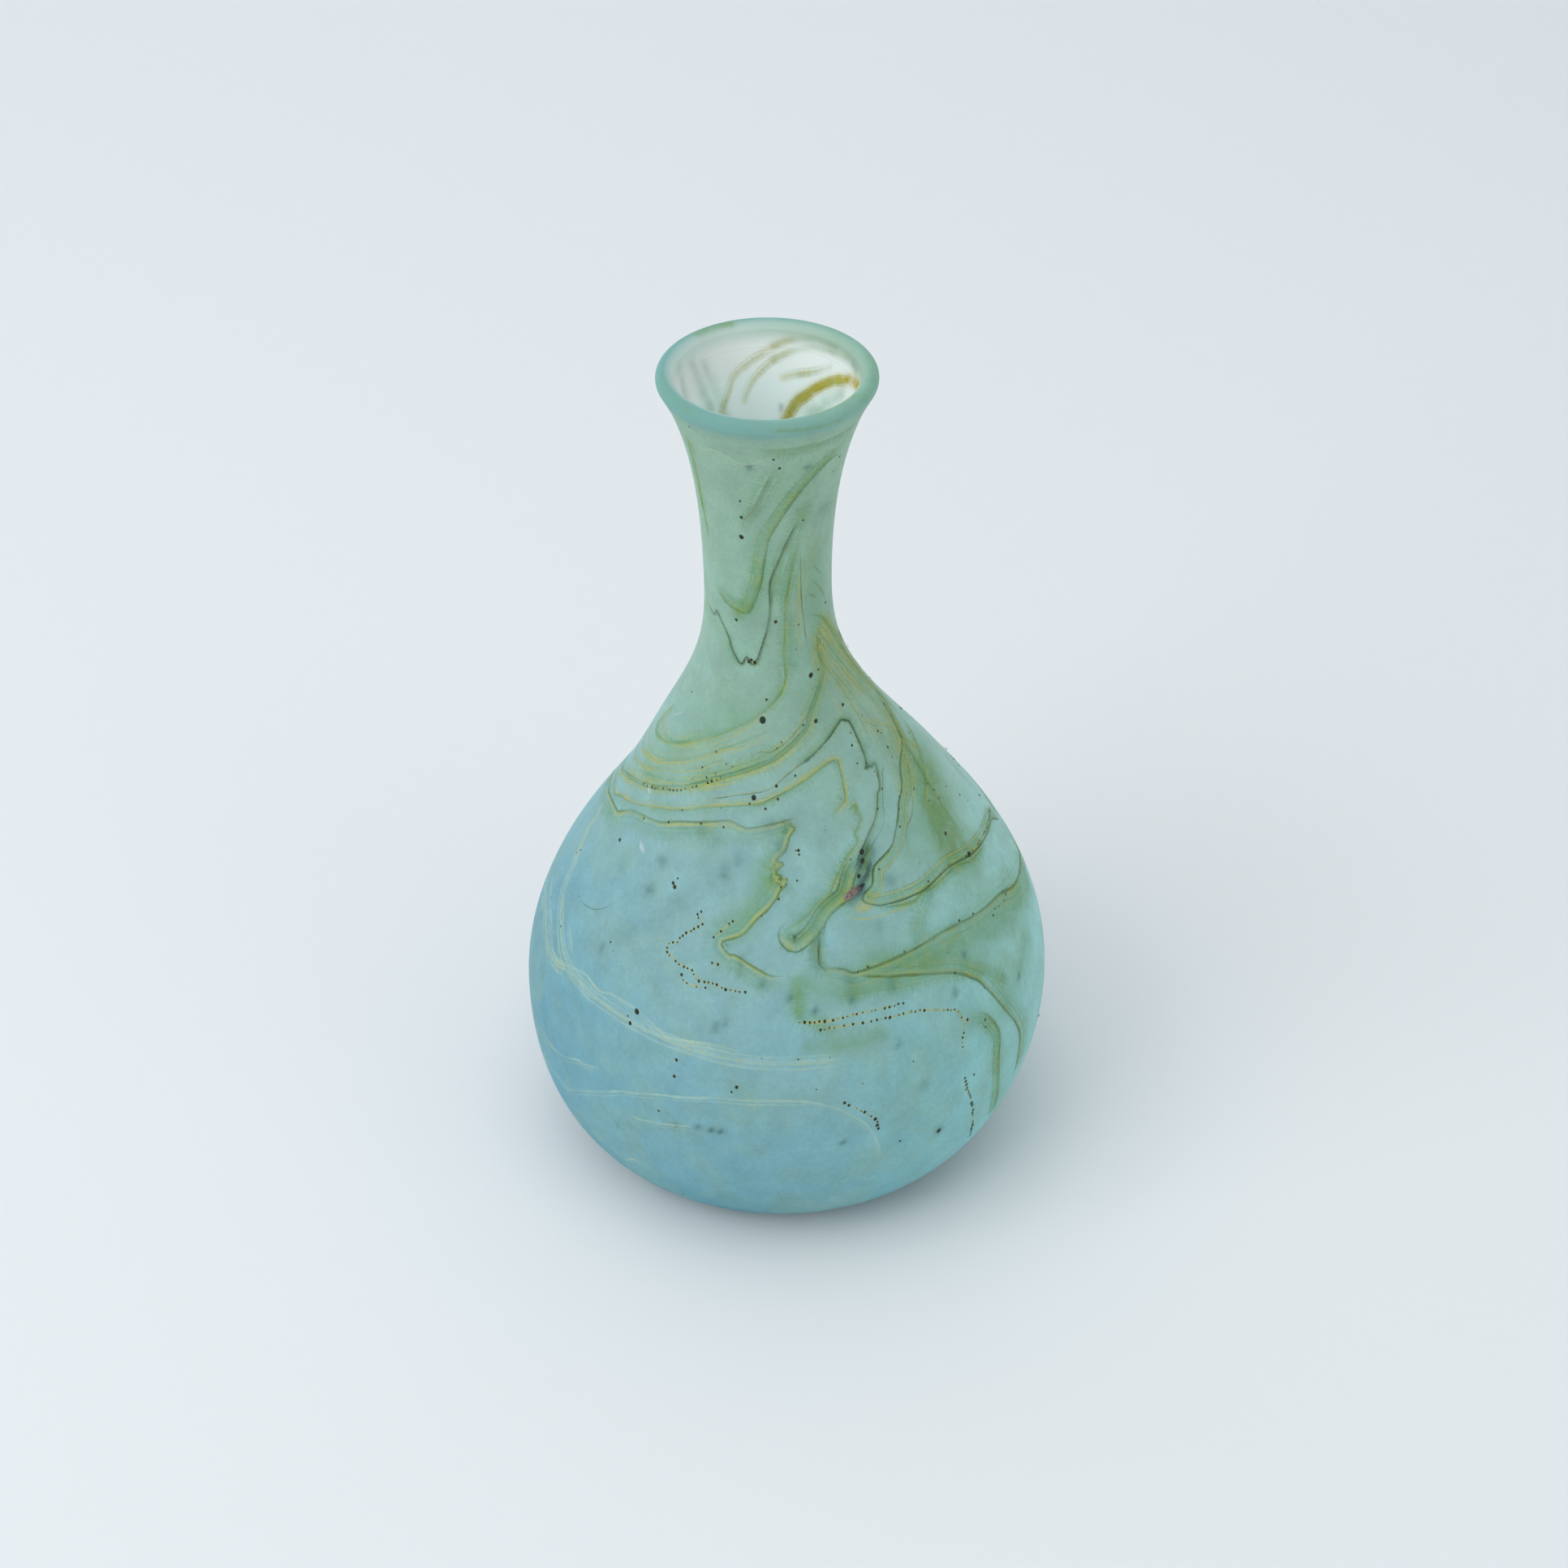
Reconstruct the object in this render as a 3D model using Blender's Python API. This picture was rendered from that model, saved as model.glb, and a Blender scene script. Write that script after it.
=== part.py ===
"""Hand-blown satin art glass vase: a bulb on a small flat foot, a slim neck and a flared mouth.

The maker's separate pieces of glass are separate objects here: the blown wall with its pushed-up
base, the thread wrapped round the mouth as a lip, and the colour trails inlaid flush in the wall.
Lengths are in metres, +Z is up, and the origin is on the table under the centre of the belly.
Angles round the vase are in degrees from the front (-Y), growing towards +X.
"""

import math

import bmesh
import bpy
from mathutils import Vector

MM = 0.001

# The outside of the wall is four smooth curves between five rings.
FOOT_RADIUS = 34.5 * MM
BELLY_RADIUS = 58.0 * MM
BELLY_HEIGHT = 39.0 * MM
SHOULDER_RADIUS = 37.5 * MM
SHOULDER_HEIGHT = 87.0 * MM
SHOULDER_SLOPE = math.radians(33.0)
WAIST_RADIUS = 13.2 * MM
WAIST_HEIGHT = 141.0 * MM
MOUTH_RADIUS = 21.4 * MM
MOUTH_HEIGHT = 188.0 * MM
MOUTH_FLARE = math.radians(26.0)

# How far each curve runs straight out of its ring before it bends.
BELLY_RUN = 23.0 * MM
SHOULDER_RUN_BELOW = 7.0 * MM
SHOULDER_RUN_ABOVE = 33.0 * MM
WAIST_RUN_BELOW = 19.0 * MM
WAIST_RUN_ABOVE = 23.0 * MM
MOUTH_RUN = 12.0 * MM
QUARTER_ELLIPSE = 0.5523

# A hand-blown neck stands a little off centre: its sideways shift at foot, belly, shoulder,
# the root of the neck, waist and mouth, given with the station of each.
LEAN = (
    (0.0, -1.3 * MM),
    (1.0, 0.0 * MM),
    (2.0, 0.5 * MM),
    (2.35, -2.5 * MM),
    (3.0, -3.9 * MM),
    (4.0, -3.9 * MM),
)

# Thickness of the glass.
FLOOR_THICKNESS = 5.0 * MM
BELLY_THICKNESS = 2.8 * MM
NECK_THICKNESS = 2.6 * MM
MOUTH_THICKNESS = 2.6 * MM

# The pushed-up base inside the flat ring that the vase stands on.
FOOT_RING_WIDTH = 7.5 * MM
KICK_HEIGHT = 6.0 * MM

# The lip is a thread of glass with a round section, flattened where it sits on the mouth.
LIP_SECTION_RADIUS = 1.8 * MM
LIP_OVERHANG = 0.8 * MM
LIP_SINK = 0.36 * MM
SEAT_GAP = 0.3 * MM

# Colour trails are flat ribbons let into the wall.
TRAIL_DEPTH = 0.7 * MM
TRAIL_GAP = 0.3 * MM
TRAIL_STEP = 3.0 * MM
GROOVE_RISE = 0.8 * MM

# How finely the round shapes are cut: sides round the axis, then steps along each curve.
RINGS = 52
CURVE_STEPS = 8
INSIDE_STEPS = 5
BASE_STEPS = 5
LIP_STEPS = 8
ROUTE_STEPS = 12
NORMAL_REACH = 0.002
SHARP_ANGLE = 35.0

# Colours of the glass, as linear values, and the roughness of its satin finish.
AQUA = (0.30, 0.50, 0.52)
TEAL = (0.22, 0.42, 0.42)
SATIN = 0.45
OLIVE = (0.32, 0.40, 0.16)
DARK_GREEN = (0.07, 0.16, 0.10)
PALE_STRAW = (0.60, 0.66, 0.46)

# Each trail: its width, its colour, and its route as (angle, station) pairs. The station runs
# 0 at the foot, 1 at the belly, 2 at the shoulder, 3 at the waist and 4 at the mouth, so that
# a trail stays on the wall when the vase changes size.
TRAILS = {
    "neck_loop_trail": (1.6 * MM, DARK_GREEN, (
        (-70, 2.97), (-56, 2.95), (-42, 2.91), (-33, 2.84), (-24, 2.78), (-15, 2.78),
        (-8, 2.84), (-4, 2.94), (0, 3.0), (3, 3.12), (8, 3.2), (15, 3.27), (26, 3.38),
    )),
    "neck_slant_trail": (2.2 * MM, OLIVE, (
        (55, 3.69), (42, 3.69), (32, 3.63), (23, 3.55), (17, 3.49), (9, 3.41), (3, 3.35), (-1, 3.29),
    )),
    "long_sweep_trail": (2.2 * MM, OLIVE, (
        (55, 2.89), (49, 2.81), (45, 2.71), (37, 2.61), (27, 2.53), (17, 2.46), (7, 2.41),
        (-6, 2.36), (-20, 2.31), (-34, 2.26), (-48, 2.21), (-64, 2.15), (-81, 2.09), (-95, 2.04),
    )),
    "lower_sweep_trail": (1.8 * MM, PALE_STRAW, (
        (-90, 2.0), (-82, 2.03), (-73, 2.06), (-58, 2.11), (-45, 2.16), (-29, 2.2), (-14, 2.23),
        (-5, 2.25), (6, 2.29), (18, 2.32), (28, 2.34), (33, 2.33), (34, 2.28), (32, 2.23), (27, 2.2), (21, 2.18),
    )),
    "feathered_trail": (2.0 * MM, OLIVE, (
        (-99, 1.84), (-88, 1.92), (-74, 1.99), (-56, 2.06), (-43, 2.11), (-25, 2.15), (-14, 2.16),
        (-4, 2.18), (3, 2.18), (3, 2.14), (0, 2.09), (-3, 2.04), (-2, 1.99), (-8, 1.87), (-12, 1.79),
        (-16, 1.73), (-18, 1.68), (-15, 1.64), (-11, 1.62), (-5, 1.59),
    )),
    "peaked_trail": (2.4 * MM, DARK_GREEN, (
        (35, 2.43), (42, 2.45), (48, 2.45), (52, 2.42), (51, 2.36), (50, 2.3), (50, 2.25),
        (48, 2.21), (42, 2.17), (36, 2.13), (29, 2.09), (21, 2.04), (15, 1.98), (9, 1.88), (5, 1.78), (1, 1.73),
    )),
    "hooked_trail": (2.0 * MM, OLIVE, (
        (96, 2.36), (87, 2.29), (76, 2.24), (64, 2.19), (53, 2.14), (44, 2.09), (36, 2.05),
        (30, 2.0), (26, 1.92), (28, 1.87), (35, 1.85), (43, 1.84), (52, 1.84), (61, 1.82),
        (71, 1.78), (80, 1.75), (89, 1.69), (99, 1.6),
    )),
    "ridge_trail": (2.6 * MM, OLIVE, (
        (78, 1.48), (70, 1.53), (62, 1.56), (55, 1.58), (45, 1.6), (35, 1.6), (27, 1.59),
        (18, 1.58), (12, 1.6), (8, 1.65), (8, 1.74),
    )),
    "branch_trail": (2.4 * MM, OLIVE, (
        (30, 1.51), (37, 1.49), (43, 1.45), (49, 1.39), (53, 1.31), (56, 1.22), (58, 1.13), (60, 1.02), (61, 0.89),
    )),
    "left_drape_trail": (1.8 * MM, PALE_STRAW, (
        (-89, 1.72), (-85, 1.62), (-80, 1.51), (-75, 1.43), (-70, 1.37), (-63, 1.33), (-55, 1.31),
        (-47, 1.3), (-40, 1.29), (-33, 1.28), (-25, 1.28), (-12, 1.28), (-2, 1.28), (12, 1.28),
    )),
}


def clear_scene():
    for obj in list(bpy.data.objects):
        bpy.data.objects.remove(obj, do_unlink=True)


def bezier(knots, t):
    """The point at t on the cubic curve of four (radius, height) knots."""
    a, b, c, d = knots
    return (1 - t) ** 3 * a + 3 * (1 - t) ** 2 * t * b + 3 * (1 - t) * t * t * c + t**3 * d


def outline_curves():
    """The outer wall as four curves, each four (radius, height) knots, from the foot up."""
    foot = Vector((FOOT_RADIUS, 0.0))
    belly = Vector((BELLY_RADIUS, BELLY_HEIGHT))
    shoulder = Vector((SHOULDER_RADIUS, SHOULDER_HEIGHT))
    waist = Vector((WAIST_RADIUS, WAIST_HEIGHT))
    mouth = Vector((MOUTH_RADIUS, MOUTH_HEIGHT))
    foot_reach = QUARTER_ELLIPSE * (BELLY_RADIUS - FOOT_RADIUS)
    foot_rise = QUARTER_ELLIPSE * BELLY_HEIGHT
    up = Vector((0.0, 1.0))
    out = Vector((1.0, 0.0))
    slope = Vector((-math.sin(SHOULDER_SLOPE), math.cos(SHOULDER_SLOPE)))
    flare = Vector((math.sin(MOUTH_FLARE), math.cos(MOUTH_FLARE)))
    return (
        (foot, foot + foot_reach * out, belly - foot_rise * up, belly),
        (belly, belly + BELLY_RUN * up, shoulder - SHOULDER_RUN_BELOW * slope, shoulder),
        (shoulder, shoulder + SHOULDER_RUN_ABOVE * slope, waist - WAIST_RUN_BELOW * up, waist),
        (waist, waist + WAIST_RUN_ABOVE * up, mouth - MOUTH_RUN * flare, mouth),
    )


CURVES = outline_curves()


def outline_at(station):
    """(radius, height) of the outer wall at a station."""
    curve = min(int(station), len(CURVES) - 1)
    return bezier(CURVES[curve], station - curve)


def outline_normal(station):
    """The outward normal of the outline at a station, as (radial, upward)."""
    low = outline_at(max(station - NORMAL_REACH, 0.0))
    high = outline_at(min(station + NORMAL_REACH, float(len(CURVES))))
    along = (high - low).normalized()
    return Vector((along.y, -along.x))


def glass_thickness(station):
    """Thick at the foot, thin up the belly and neck."""
    knots = ((0.0, FLOOR_THICKNESS), (1.0, BELLY_THICKNESS), (3.0, NECK_THICKNESS), (4.0, MOUTH_THICKNESS))
    for (s0, t0), (s1, t1) in zip(knots, knots[1:]):
        if station <= s1:
            share = (station - s0) / (s1 - s0)
            return t0 + (t1 - t0) * share * share * (3 - 2 * share)
    return MOUTH_THICKNESS


def lean_at(height):
    """Sideways shift of the vase's axis at a height: a smooth curve through the LEAN values."""
    knots = [(outline_at(station).y, shift) for station, shift in LEAN]
    slopes = [0.0]
    for (z0, x0), (z1, x1), (z2, x2) in zip(knots, knots[1:], knots[2:]):
        slopes.append((x2 - x0) / (z2 - z0))
    slopes.append(0.0)
    height = min(max(height, knots[0][0]), knots[-1][0])
    for i in range(len(knots) - 1):
        (z0, x0), (z1, x1) = knots[i], knots[i + 1]
        if height <= z1:
            break
    span = z1 - z0
    t = (height - z0) / span
    return (
        (2 * t**3 - 3 * t**2 + 1) * x0
        + (t**3 - 2 * t**2 + t) * span * slopes[i]
        + (3 * t**2 - 2 * t**3) * x1
        + (t**3 - t**2) * span * slopes[i + 1]
    )


def on_ring(radius, height, angle):
    """The point at this radius and height, turned angle radians from the front towards +X."""
    return Vector((lean_at(height) + radius * math.sin(angle), -radius * math.cos(angle), height))


def satin_glass(name, colour):
    made = bpy.data.materials.new(name)
    made.use_nodes = True
    shader = made.node_tree.nodes["Principled BSDF"]
    shader.inputs["Base Color"].default_value = (*colour, 1.0)
    shader.inputs["Roughness"].default_value = SATIN
    shader.inputs["Metallic"].default_value = 0.0
    return made


def add_object(name, bm, surface=None):
    """Turns a bmesh into a named object with outward faces."""
    bmesh.ops.recalc_face_normals(bm, faces=bm.faces)
    mesh = bpy.data.meshes.new(name)
    bm.to_mesh(mesh)
    bm.free()
    if surface:
        mesh.materials.append(surface)
    made = bpy.data.objects.new(name, mesh)
    bpy.context.scene.collection.objects.link(made)
    return made


def turned(profile, closed_ends):
    """A bmesh turned from (radius, height) points. closed_ends caps the first and last point on the axis."""
    bm = bmesh.new()
    rows = []
    for radius, height in profile:
        turns = [2 * math.pi * i / RINGS for i in range(RINGS)]
        rows.append([bm.verts.new(on_ring(radius, height, turn)) for turn in turns])
    pairs = list(zip(rows, rows[1:]))
    if not closed_ends:
        pairs.append((rows[-1], rows[0]))
    for low, high in pairs:
        for i in range(RINGS):
            j = (i + 1) % RINGS
            bm.faces.new((low[i], low[j], high[j], high[i]))
    if closed_ends:
        for row, height in ((rows[0], profile[0][1]), (rows[-1], profile[-1][1])):
            pole = bm.verts.new(on_ring(0.0, height, 0.0))
            for i in range(RINGS):
                bm.faces.new((row[i], row[(i + 1) % RINGS], pole))
    return bm


def body_profile():
    """The wall's section from under the kick-up, out and up the outside, and down the inside to the floor."""
    ring_inner = FOOT_RADIUS - FOOT_RING_WIDTH
    kick = (
        Vector((0.0, KICK_HEIGHT)),
        Vector((0.5 * ring_inner, KICK_HEIGHT)),
        Vector((0.8 * ring_inner, 0.35 * KICK_HEIGHT)),
        Vector((ring_inner, 0.0)),
    )
    floor_height = KICK_HEIGHT + FLOOR_THICKNESS
    floor_edge = Vector((FOOT_RADIUS, FLOOR_THICKNESS))
    floor = (
        floor_edge,
        floor_edge - Vector((0.4 * FOOT_RADIUS, 0.0)),
        Vector((0.45 * FOOT_RADIUS, floor_height)),
        Vector((0.0, floor_height)),
    )
    points = [bezier(kick, i / BASE_STEPS) for i in range(1, BASE_STEPS + 1)]
    points += [outline_at(i / CURVE_STEPS) for i in range(len(CURVES) * CURVE_STEPS + 1)]
    seat_inner = MOUTH_RADIUS - MOUTH_THICKNESS / math.cos(MOUTH_FLARE)
    points.append(Vector((seat_inner, MOUTH_HEIGHT)))
    for i in reversed(range(len(CURVES) * INSIDE_STEPS)):
        station = i / INSIDE_STEPS
        points.append(outline_at(station) - glass_thickness(station) * outline_normal(station))
    points += [bezier(floor, i / BASE_STEPS) for i in range(1, BASE_STEPS)]
    return points


def build_body():
    bm = turned(body_profile(), closed_ends=True)
    return add_object("body_wall", bm, satin_glass("satin_aqua_glass", AQUA))


def build_lip():
    """A bead whose flat side sits on the mouth, a seat gap above it."""
    centre_radius = MOUTH_RADIUS + LIP_OVERHANG - LIP_SECTION_RADIUS
    seat = MOUTH_HEIGHT + SEAT_GAP
    centre_height = MOUTH_HEIGHT + LIP_SECTION_RADIUS - LIP_SINK
    dip = math.asin((centre_height - seat) / LIP_SECTION_RADIUS)
    profile = []
    for i in range(LIP_STEPS + 1):
        turn = -dip + (math.pi + 2 * dip) * i / LIP_STEPS
        radius = centre_radius + LIP_SECTION_RADIUS * math.cos(turn)
        profile.append((radius, centre_height + LIP_SECTION_RADIUS * math.sin(turn)))
    bm = turned(profile, closed_ends=False)
    return add_object("lip_wrap", bm, satin_glass("teal_lip_glass", TEAL))


def smooth_route(points):
    """Many (angle, station) pairs on one smooth curve through the route's points."""
    ends = [points[0], *points, points[-1]]
    dense = []
    for before, start, end, after in zip(ends, ends[1:], ends[2:], ends[3:]):
        for step in range(ROUTE_STEPS):
            t = step / ROUTE_STEPS
            dense.append(tuple(
                0.5 * (
                    2 * start[k]
                    + (end[k] - before[k]) * t
                    + (2 * before[k] - 5 * start[k] + 4 * end[k] - after[k]) * t * t
                    + (3 * start[k] - before[k] - 3 * end[k] + after[k]) * t**3
                )
                for k in (0, 1)
            ))
    return [*dense, points[-1]]


def wall_point(angle, station):
    radius, height = outline_at(station)
    return on_ring(radius, height, math.radians(angle))


def wall_normal(angle, station):
    radial, upward = outline_normal(station)
    turn = math.radians(angle)
    return Vector((radial * math.sin(turn), -radial * math.cos(turn), upward)).normalized()


def evenly_spaced(route):
    """(point, normal) pairs about TRAIL_STEP apart along a route on the wall."""
    dense = [(wall_point(*pair), wall_normal(*pair)) for pair in smooth_route(route)]
    lengths = [0.0]
    for (a, _), (b, _) in zip(dense, dense[1:]):
        lengths.append(lengths[-1] + (b - a).length)
    count = max(2, round(lengths[-1] / TRAIL_STEP))
    places = []
    at = 0
    for i in range(count + 1):
        wanted = lengths[-1] * i / count
        while at < len(lengths) - 2 and lengths[at + 1] < wanted:
            at += 1
        share = (wanted - lengths[at]) / (lengths[at + 1] - lengths[at])
        places.append((
            dense[at][0].lerp(dense[at + 1][0], share),
            dense[at][1].lerp(dense[at + 1][1], share).normalized(),
        ))
    return places


def ribbon(route, width, top, bottom, extra_end):
    """A bmesh of a flat ribbon along a route, from top above the wall's surface to bottom under it."""
    places = evenly_spaced(route)
    bm = bmesh.new()
    rows = []
    for i, (point, normal) in enumerate(places):
        before = places[max(i - 1, 0)][0]
        after = places[min(i + 1, len(places) - 1)][0]
        along = (after - before).normalized()
        side = normal.cross(along).normalized() * (width / 2)
        if i == 0:
            point = point - along * extra_end
        if i == len(places) - 1:
            point = point + along * extra_end
        corners = (
            point - side + normal * top,
            point + side + normal * top,
            point + side - normal * bottom,
            point - side - normal * bottom,
        )
        rows.append([bm.verts.new(corner) for corner in corners])
    for low, high in zip(rows, rows[1:]):
        for i in range(4):
            j = (i + 1) % 4
            bm.faces.new((low[i], low[j], high[j], high[i]))
    bm.faces.new(rows[0])
    bm.faces.new(rows[-1])
    return bm


def build_trail(body, name, width, colour, route):
    """A trail flush with the wall, and the groove it is bedded in, a gap wider and deeper all round."""
    glass = satin_glass(name + "_glass", colour)
    made = add_object(name, ribbon(route, width, 0.0, TRAIL_DEPTH, 0.0), glass)
    groove_width = width + 2 * TRAIL_GAP
    groove = add_object(
        name + "_groove",
        ribbon(route, groove_width, GROOVE_RISE, TRAIL_DEPTH + TRAIL_GAP, TRAIL_GAP),
    )
    groove.hide_render = True
    groove.display_type = "WIRE"
    cut = body.modifiers.new(name + "_groove", "BOOLEAN")
    cut.operation = "DIFFERENCE"
    cut.solver = "EXACT"
    cut.object = groove
    return made


def shade_round(obj, sharp_angle):
    obj.data.shade_smooth()
    obj.data.set_sharp_from_angle(angle=math.radians(sharp_angle))


def main():
    clear_scene()
    body = build_body()
    pieces = [body, build_lip()]
    for name, (width, colour, route) in TRAILS.items():
        pieces.append(build_trail(body, name, width, colour, route))
    for piece in pieces:
        shade_round(piece, SHARP_ANGLE)


main()
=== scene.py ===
"""Looks of a hand-blown satin art glass vase, built round its CAD model.

The blown wall and the lip are turned meshes, the marbled trails are flat threads of coloured glass
swept over the wall by Geometry Nodes, and the seeds and pits are small lenses strung along guides.
Places on the wall are (angle, station) pairs. The angle is in degrees from the front (-Y) towards
+X. The station is 0 at the foot, 1 at the belly, 2 at the shoulder, 3 at the waist and 4 at the
mouth. Lengths are in metres unless a name or a unit says millimetres.
"""

import math

import bmesh
import bpy
import numpy as np
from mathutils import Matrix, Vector, noise


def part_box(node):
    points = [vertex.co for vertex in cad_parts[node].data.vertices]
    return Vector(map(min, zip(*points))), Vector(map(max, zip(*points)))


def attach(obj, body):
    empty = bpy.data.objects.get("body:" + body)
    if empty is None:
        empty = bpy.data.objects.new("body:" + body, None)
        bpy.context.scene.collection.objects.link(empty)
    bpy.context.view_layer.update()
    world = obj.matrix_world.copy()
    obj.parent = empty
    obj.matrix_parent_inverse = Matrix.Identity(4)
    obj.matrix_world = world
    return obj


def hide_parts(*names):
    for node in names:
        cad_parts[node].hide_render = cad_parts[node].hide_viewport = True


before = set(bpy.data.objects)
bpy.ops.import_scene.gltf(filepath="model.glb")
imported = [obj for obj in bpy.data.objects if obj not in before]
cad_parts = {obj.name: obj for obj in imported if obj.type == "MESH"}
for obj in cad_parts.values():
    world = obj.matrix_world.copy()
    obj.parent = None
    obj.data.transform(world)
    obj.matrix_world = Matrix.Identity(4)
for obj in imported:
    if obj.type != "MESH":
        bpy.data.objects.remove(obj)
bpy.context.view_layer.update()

bl_info = {
    "name": "Satin art glass vase",
    "version": (1, 0, 0),
    "blender": (4, 5, 0),
    "location": "View3D > Sidebar > Glass vase",
    "description": "Builds a marbled satin glass vase with a wrapped lip and its studio stage",
    "category": "Add Mesh",
}

MM = 0.001
WALL_LOW, WALL_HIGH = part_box("body_wall")
LIP_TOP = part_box("lip_wrap")[1][2]

# The wall's outline, as the CAD model turns it. The belly, the mouth's height and the lip come
# from the frame's boxes, and the rest is repeated from the part.
BELLY_RADIUS = (WALL_HIGH[0] - WALL_LOW[0]) / 2
MOUTH_HEIGHT = WALL_HIGH[2]
FOOT_RADIUS = 34.5 * MM
BELLY_HEIGHT = 39.0 * MM
SHOULDER = (37.5 * MM, 87.0 * MM)
SHOULDER_SLOPE = math.radians(33.0)
WAIST = (13.2 * MM, 141.0 * MM)
MOUTH_RADIUS = 21.4 * MM
MOUTH_FLARE = math.radians(26.0)
BELLY_RUN = 23.0 * MM
SHOULDER_RUNS = (7.0 * MM, 33.0 * MM)
WAIST_RUNS = (19.0 * MM, 23.0 * MM)
MOUTH_RUN = 12.0 * MM
QUARTER_ELLIPSE = 0.5523
LEAN = ((0.0, -1.3), (1.0, 0.0), (2.0, 0.5), (2.35, -2.5), (3.0, -3.9), (4.0, -3.9))
THICKNESS = ((0.0, 5.0), (1.0, 2.8), (3.0, 2.6), (4.0, 2.6))
FOOT_RING_WIDTH = 7.5 * MM
KICK_HEIGHT = 6.0 * MM
FLOOR_THICKNESS = 5.0 * MM
WALL_STEP = 1.35 * MM

# Rows of faces down each stretch of the lip's profile, and columns round it.
SKIRT_ROWS, BEAD_ROWS, LINING_ROWS = 14, 30, 10
LIP_COLUMNS = 256

# How much of its light the glass passes inside itself. It fades to none just under the mouth,
# where the lip's skirt meets the wall at the seam's station.
GLOW = 0.8
LIP_GLOW = 0.7
SEAM_STATION = 3.86
SEAM_FADE = 0.14

# Light comes through the thin neck from behind, and the inner face is painted almost white to stand for
# it: painted light.
LINING = "#edf5f2"
# Inside the lip, the lining darkens to this green towards its crown and right: painted shade.
SHADED_LIP_LINING = "#9cb9a4"
# The lip's own deeper teal, laid on strongest on the left as painted shade.
LIP_TEAL = "#72a6a4"

# The coloured glasses, from the deepest layer of a trail to its top one: the material's name, its
# two colours, how much glass is left where filaments part, and how much of the half width is soft.
THREAD_GLASSES = {
    "smoke": ("smoky_green_glass", "#5f9a70", "#80a568", 0.6, 1.0),
    "pale": ("opal_thread_glass", "#b0d2ca", "#bccfae", 0.3, 0.95),
    "olive": ("olive_thread_glass", "#5b8540", "#7a9c48", 0.55, 0.8),
    "rust": ("rust_thread_glass", "#6b5a2c", "#4f522c", 0.4, 0.7),
    "straw": ("straw_thread_glass", "#a9b56a", "#b8b564", 0.6, 0.7),
    "green": ("bottle_green_thread_glass", "#1f443a", "#36513a", 0.65, 0.7),
    "scuff": ("scuffed_satin_glass", "#dbe8e8", "#c8dcdc", 0.1, 0.6),
}
GLASSES = tuple(THREAD_GLASSES)

# Each glass lies this much over the last, and threads of one glass a share of it apart.
LAYER = 0.006 * MM
THREAD_LAYER_SHARE = 0.12
THREADS_STACKED = 6

# How a thread is drawn: it melts a quarter wider than it was laid, and its ends taper to points.
GUIDE_STEP = 0.9 * MM
THREAD_SPREAD = 1.25
TAPER_LENGTH = 3.5 * MM
TAPER_SHARE = 0.35
TIP_WIDTH = 0.35
THREAD_STRIPS = 5
WANDERS_PER_METRE = 130.0

# Soft stains of coloured glass deep in the wall: colour and strength of each.
STAINS = {
    "haze_stain": ("#79a883", 0.9),
    "olive_stain": ("#7a9a5a", 0.9),
    "dark_stain": ("#3f6a64", 0.9),
    "yellow_stain": ("#b5a72c", 1.0),
}


def linear(hex_colour):
    """An sRGB hex colour as linear RGBA."""
    channels = [int(hex_colour[i : i + 2], 16) / 255 for i in (1, 3, 5)]
    return (*[c / 12.92 if c <= 0.04045 else ((c + 0.055) / 1.055) ** 2.4 for c in channels], 1.0)


def add(tree, kind, inputs=(), **settings):
    """Adds a node, with its settings and with its inputs linked to sockets or set to values."""
    made = tree.nodes.new(kind)
    for name, value in settings.items():
        setattr(made, name, value)
    for key, value in dict(inputs).items():
        if isinstance(value, bpy.types.NodeSocket):
            tree.links.new(value, made.inputs[key])
        else:
            made.inputs[key].default_value = value
    return made


# Shape of the wall


def outline_curves():
    """The outer wall as four cubic curves, each four (radius, height) knots, from the foot up."""
    foot = np.array((FOOT_RADIUS, 0.0))
    belly = np.array((BELLY_RADIUS, BELLY_HEIGHT))
    shoulder = np.array(SHOULDER)
    waist = np.array(WAIST)
    mouth = np.array((MOUTH_RADIUS, MOUTH_HEIGHT))
    reach = np.array((QUARTER_ELLIPSE * (BELLY_RADIUS - FOOT_RADIUS), 0.0))
    rise = np.array((0.0, QUARTER_ELLIPSE * BELLY_HEIGHT))
    up = np.array((0.0, 1.0))
    slope = np.array((-math.sin(SHOULDER_SLOPE), math.cos(SHOULDER_SLOPE)))
    flare = np.array((math.sin(MOUTH_FLARE), math.cos(MOUTH_FLARE)))
    return np.array((
        (foot, foot + reach, belly - rise, belly),
        (belly, belly + BELLY_RUN * up, shoulder - SHOULDER_RUNS[0] * slope, shoulder),
        (shoulder, shoulder + SHOULDER_RUNS[1] * slope, waist - WAIST_RUNS[0] * up, waist),
        (waist, waist + WAIST_RUNS[1] * up, mouth - MOUTH_RUN * flare, mouth),
    ))


CURVES = outline_curves()


def bezier(knots, t):
    """Points at t on cubic curves. knots holds four (radius, height) knots for each t."""
    t = np.asarray(t, float)[:, None]
    a, b, c, d = knots[..., 0, :], knots[..., 1, :], knots[..., 2, :], knots[..., 3, :]
    return (1 - t) ** 3 * a + 3 * (1 - t) ** 2 * t * b + 3 * (1 - t) * t * t * c + t**3 * d


def outline_at(stations):
    """(radius, height) of the outer wall at each station."""
    stations = np.clip(np.atleast_1d(np.asarray(stations, float)), 0.0, 4.0)
    curve = np.minimum(stations.astype(int), 3)
    return bezier(CURVES[curve], stations - curve)


def outline_normal(stations):
    """The outward (radial, upward) normal of the outline at each station."""
    stations = np.atleast_1d(np.asarray(stations, float))
    along = outline_at(stations + 0.002) - outline_at(stations - 0.002)
    along /= np.linalg.norm(along, axis=1)[:, None]
    return np.stack((along[:, 1], -along[:, 0]), 1)


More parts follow.
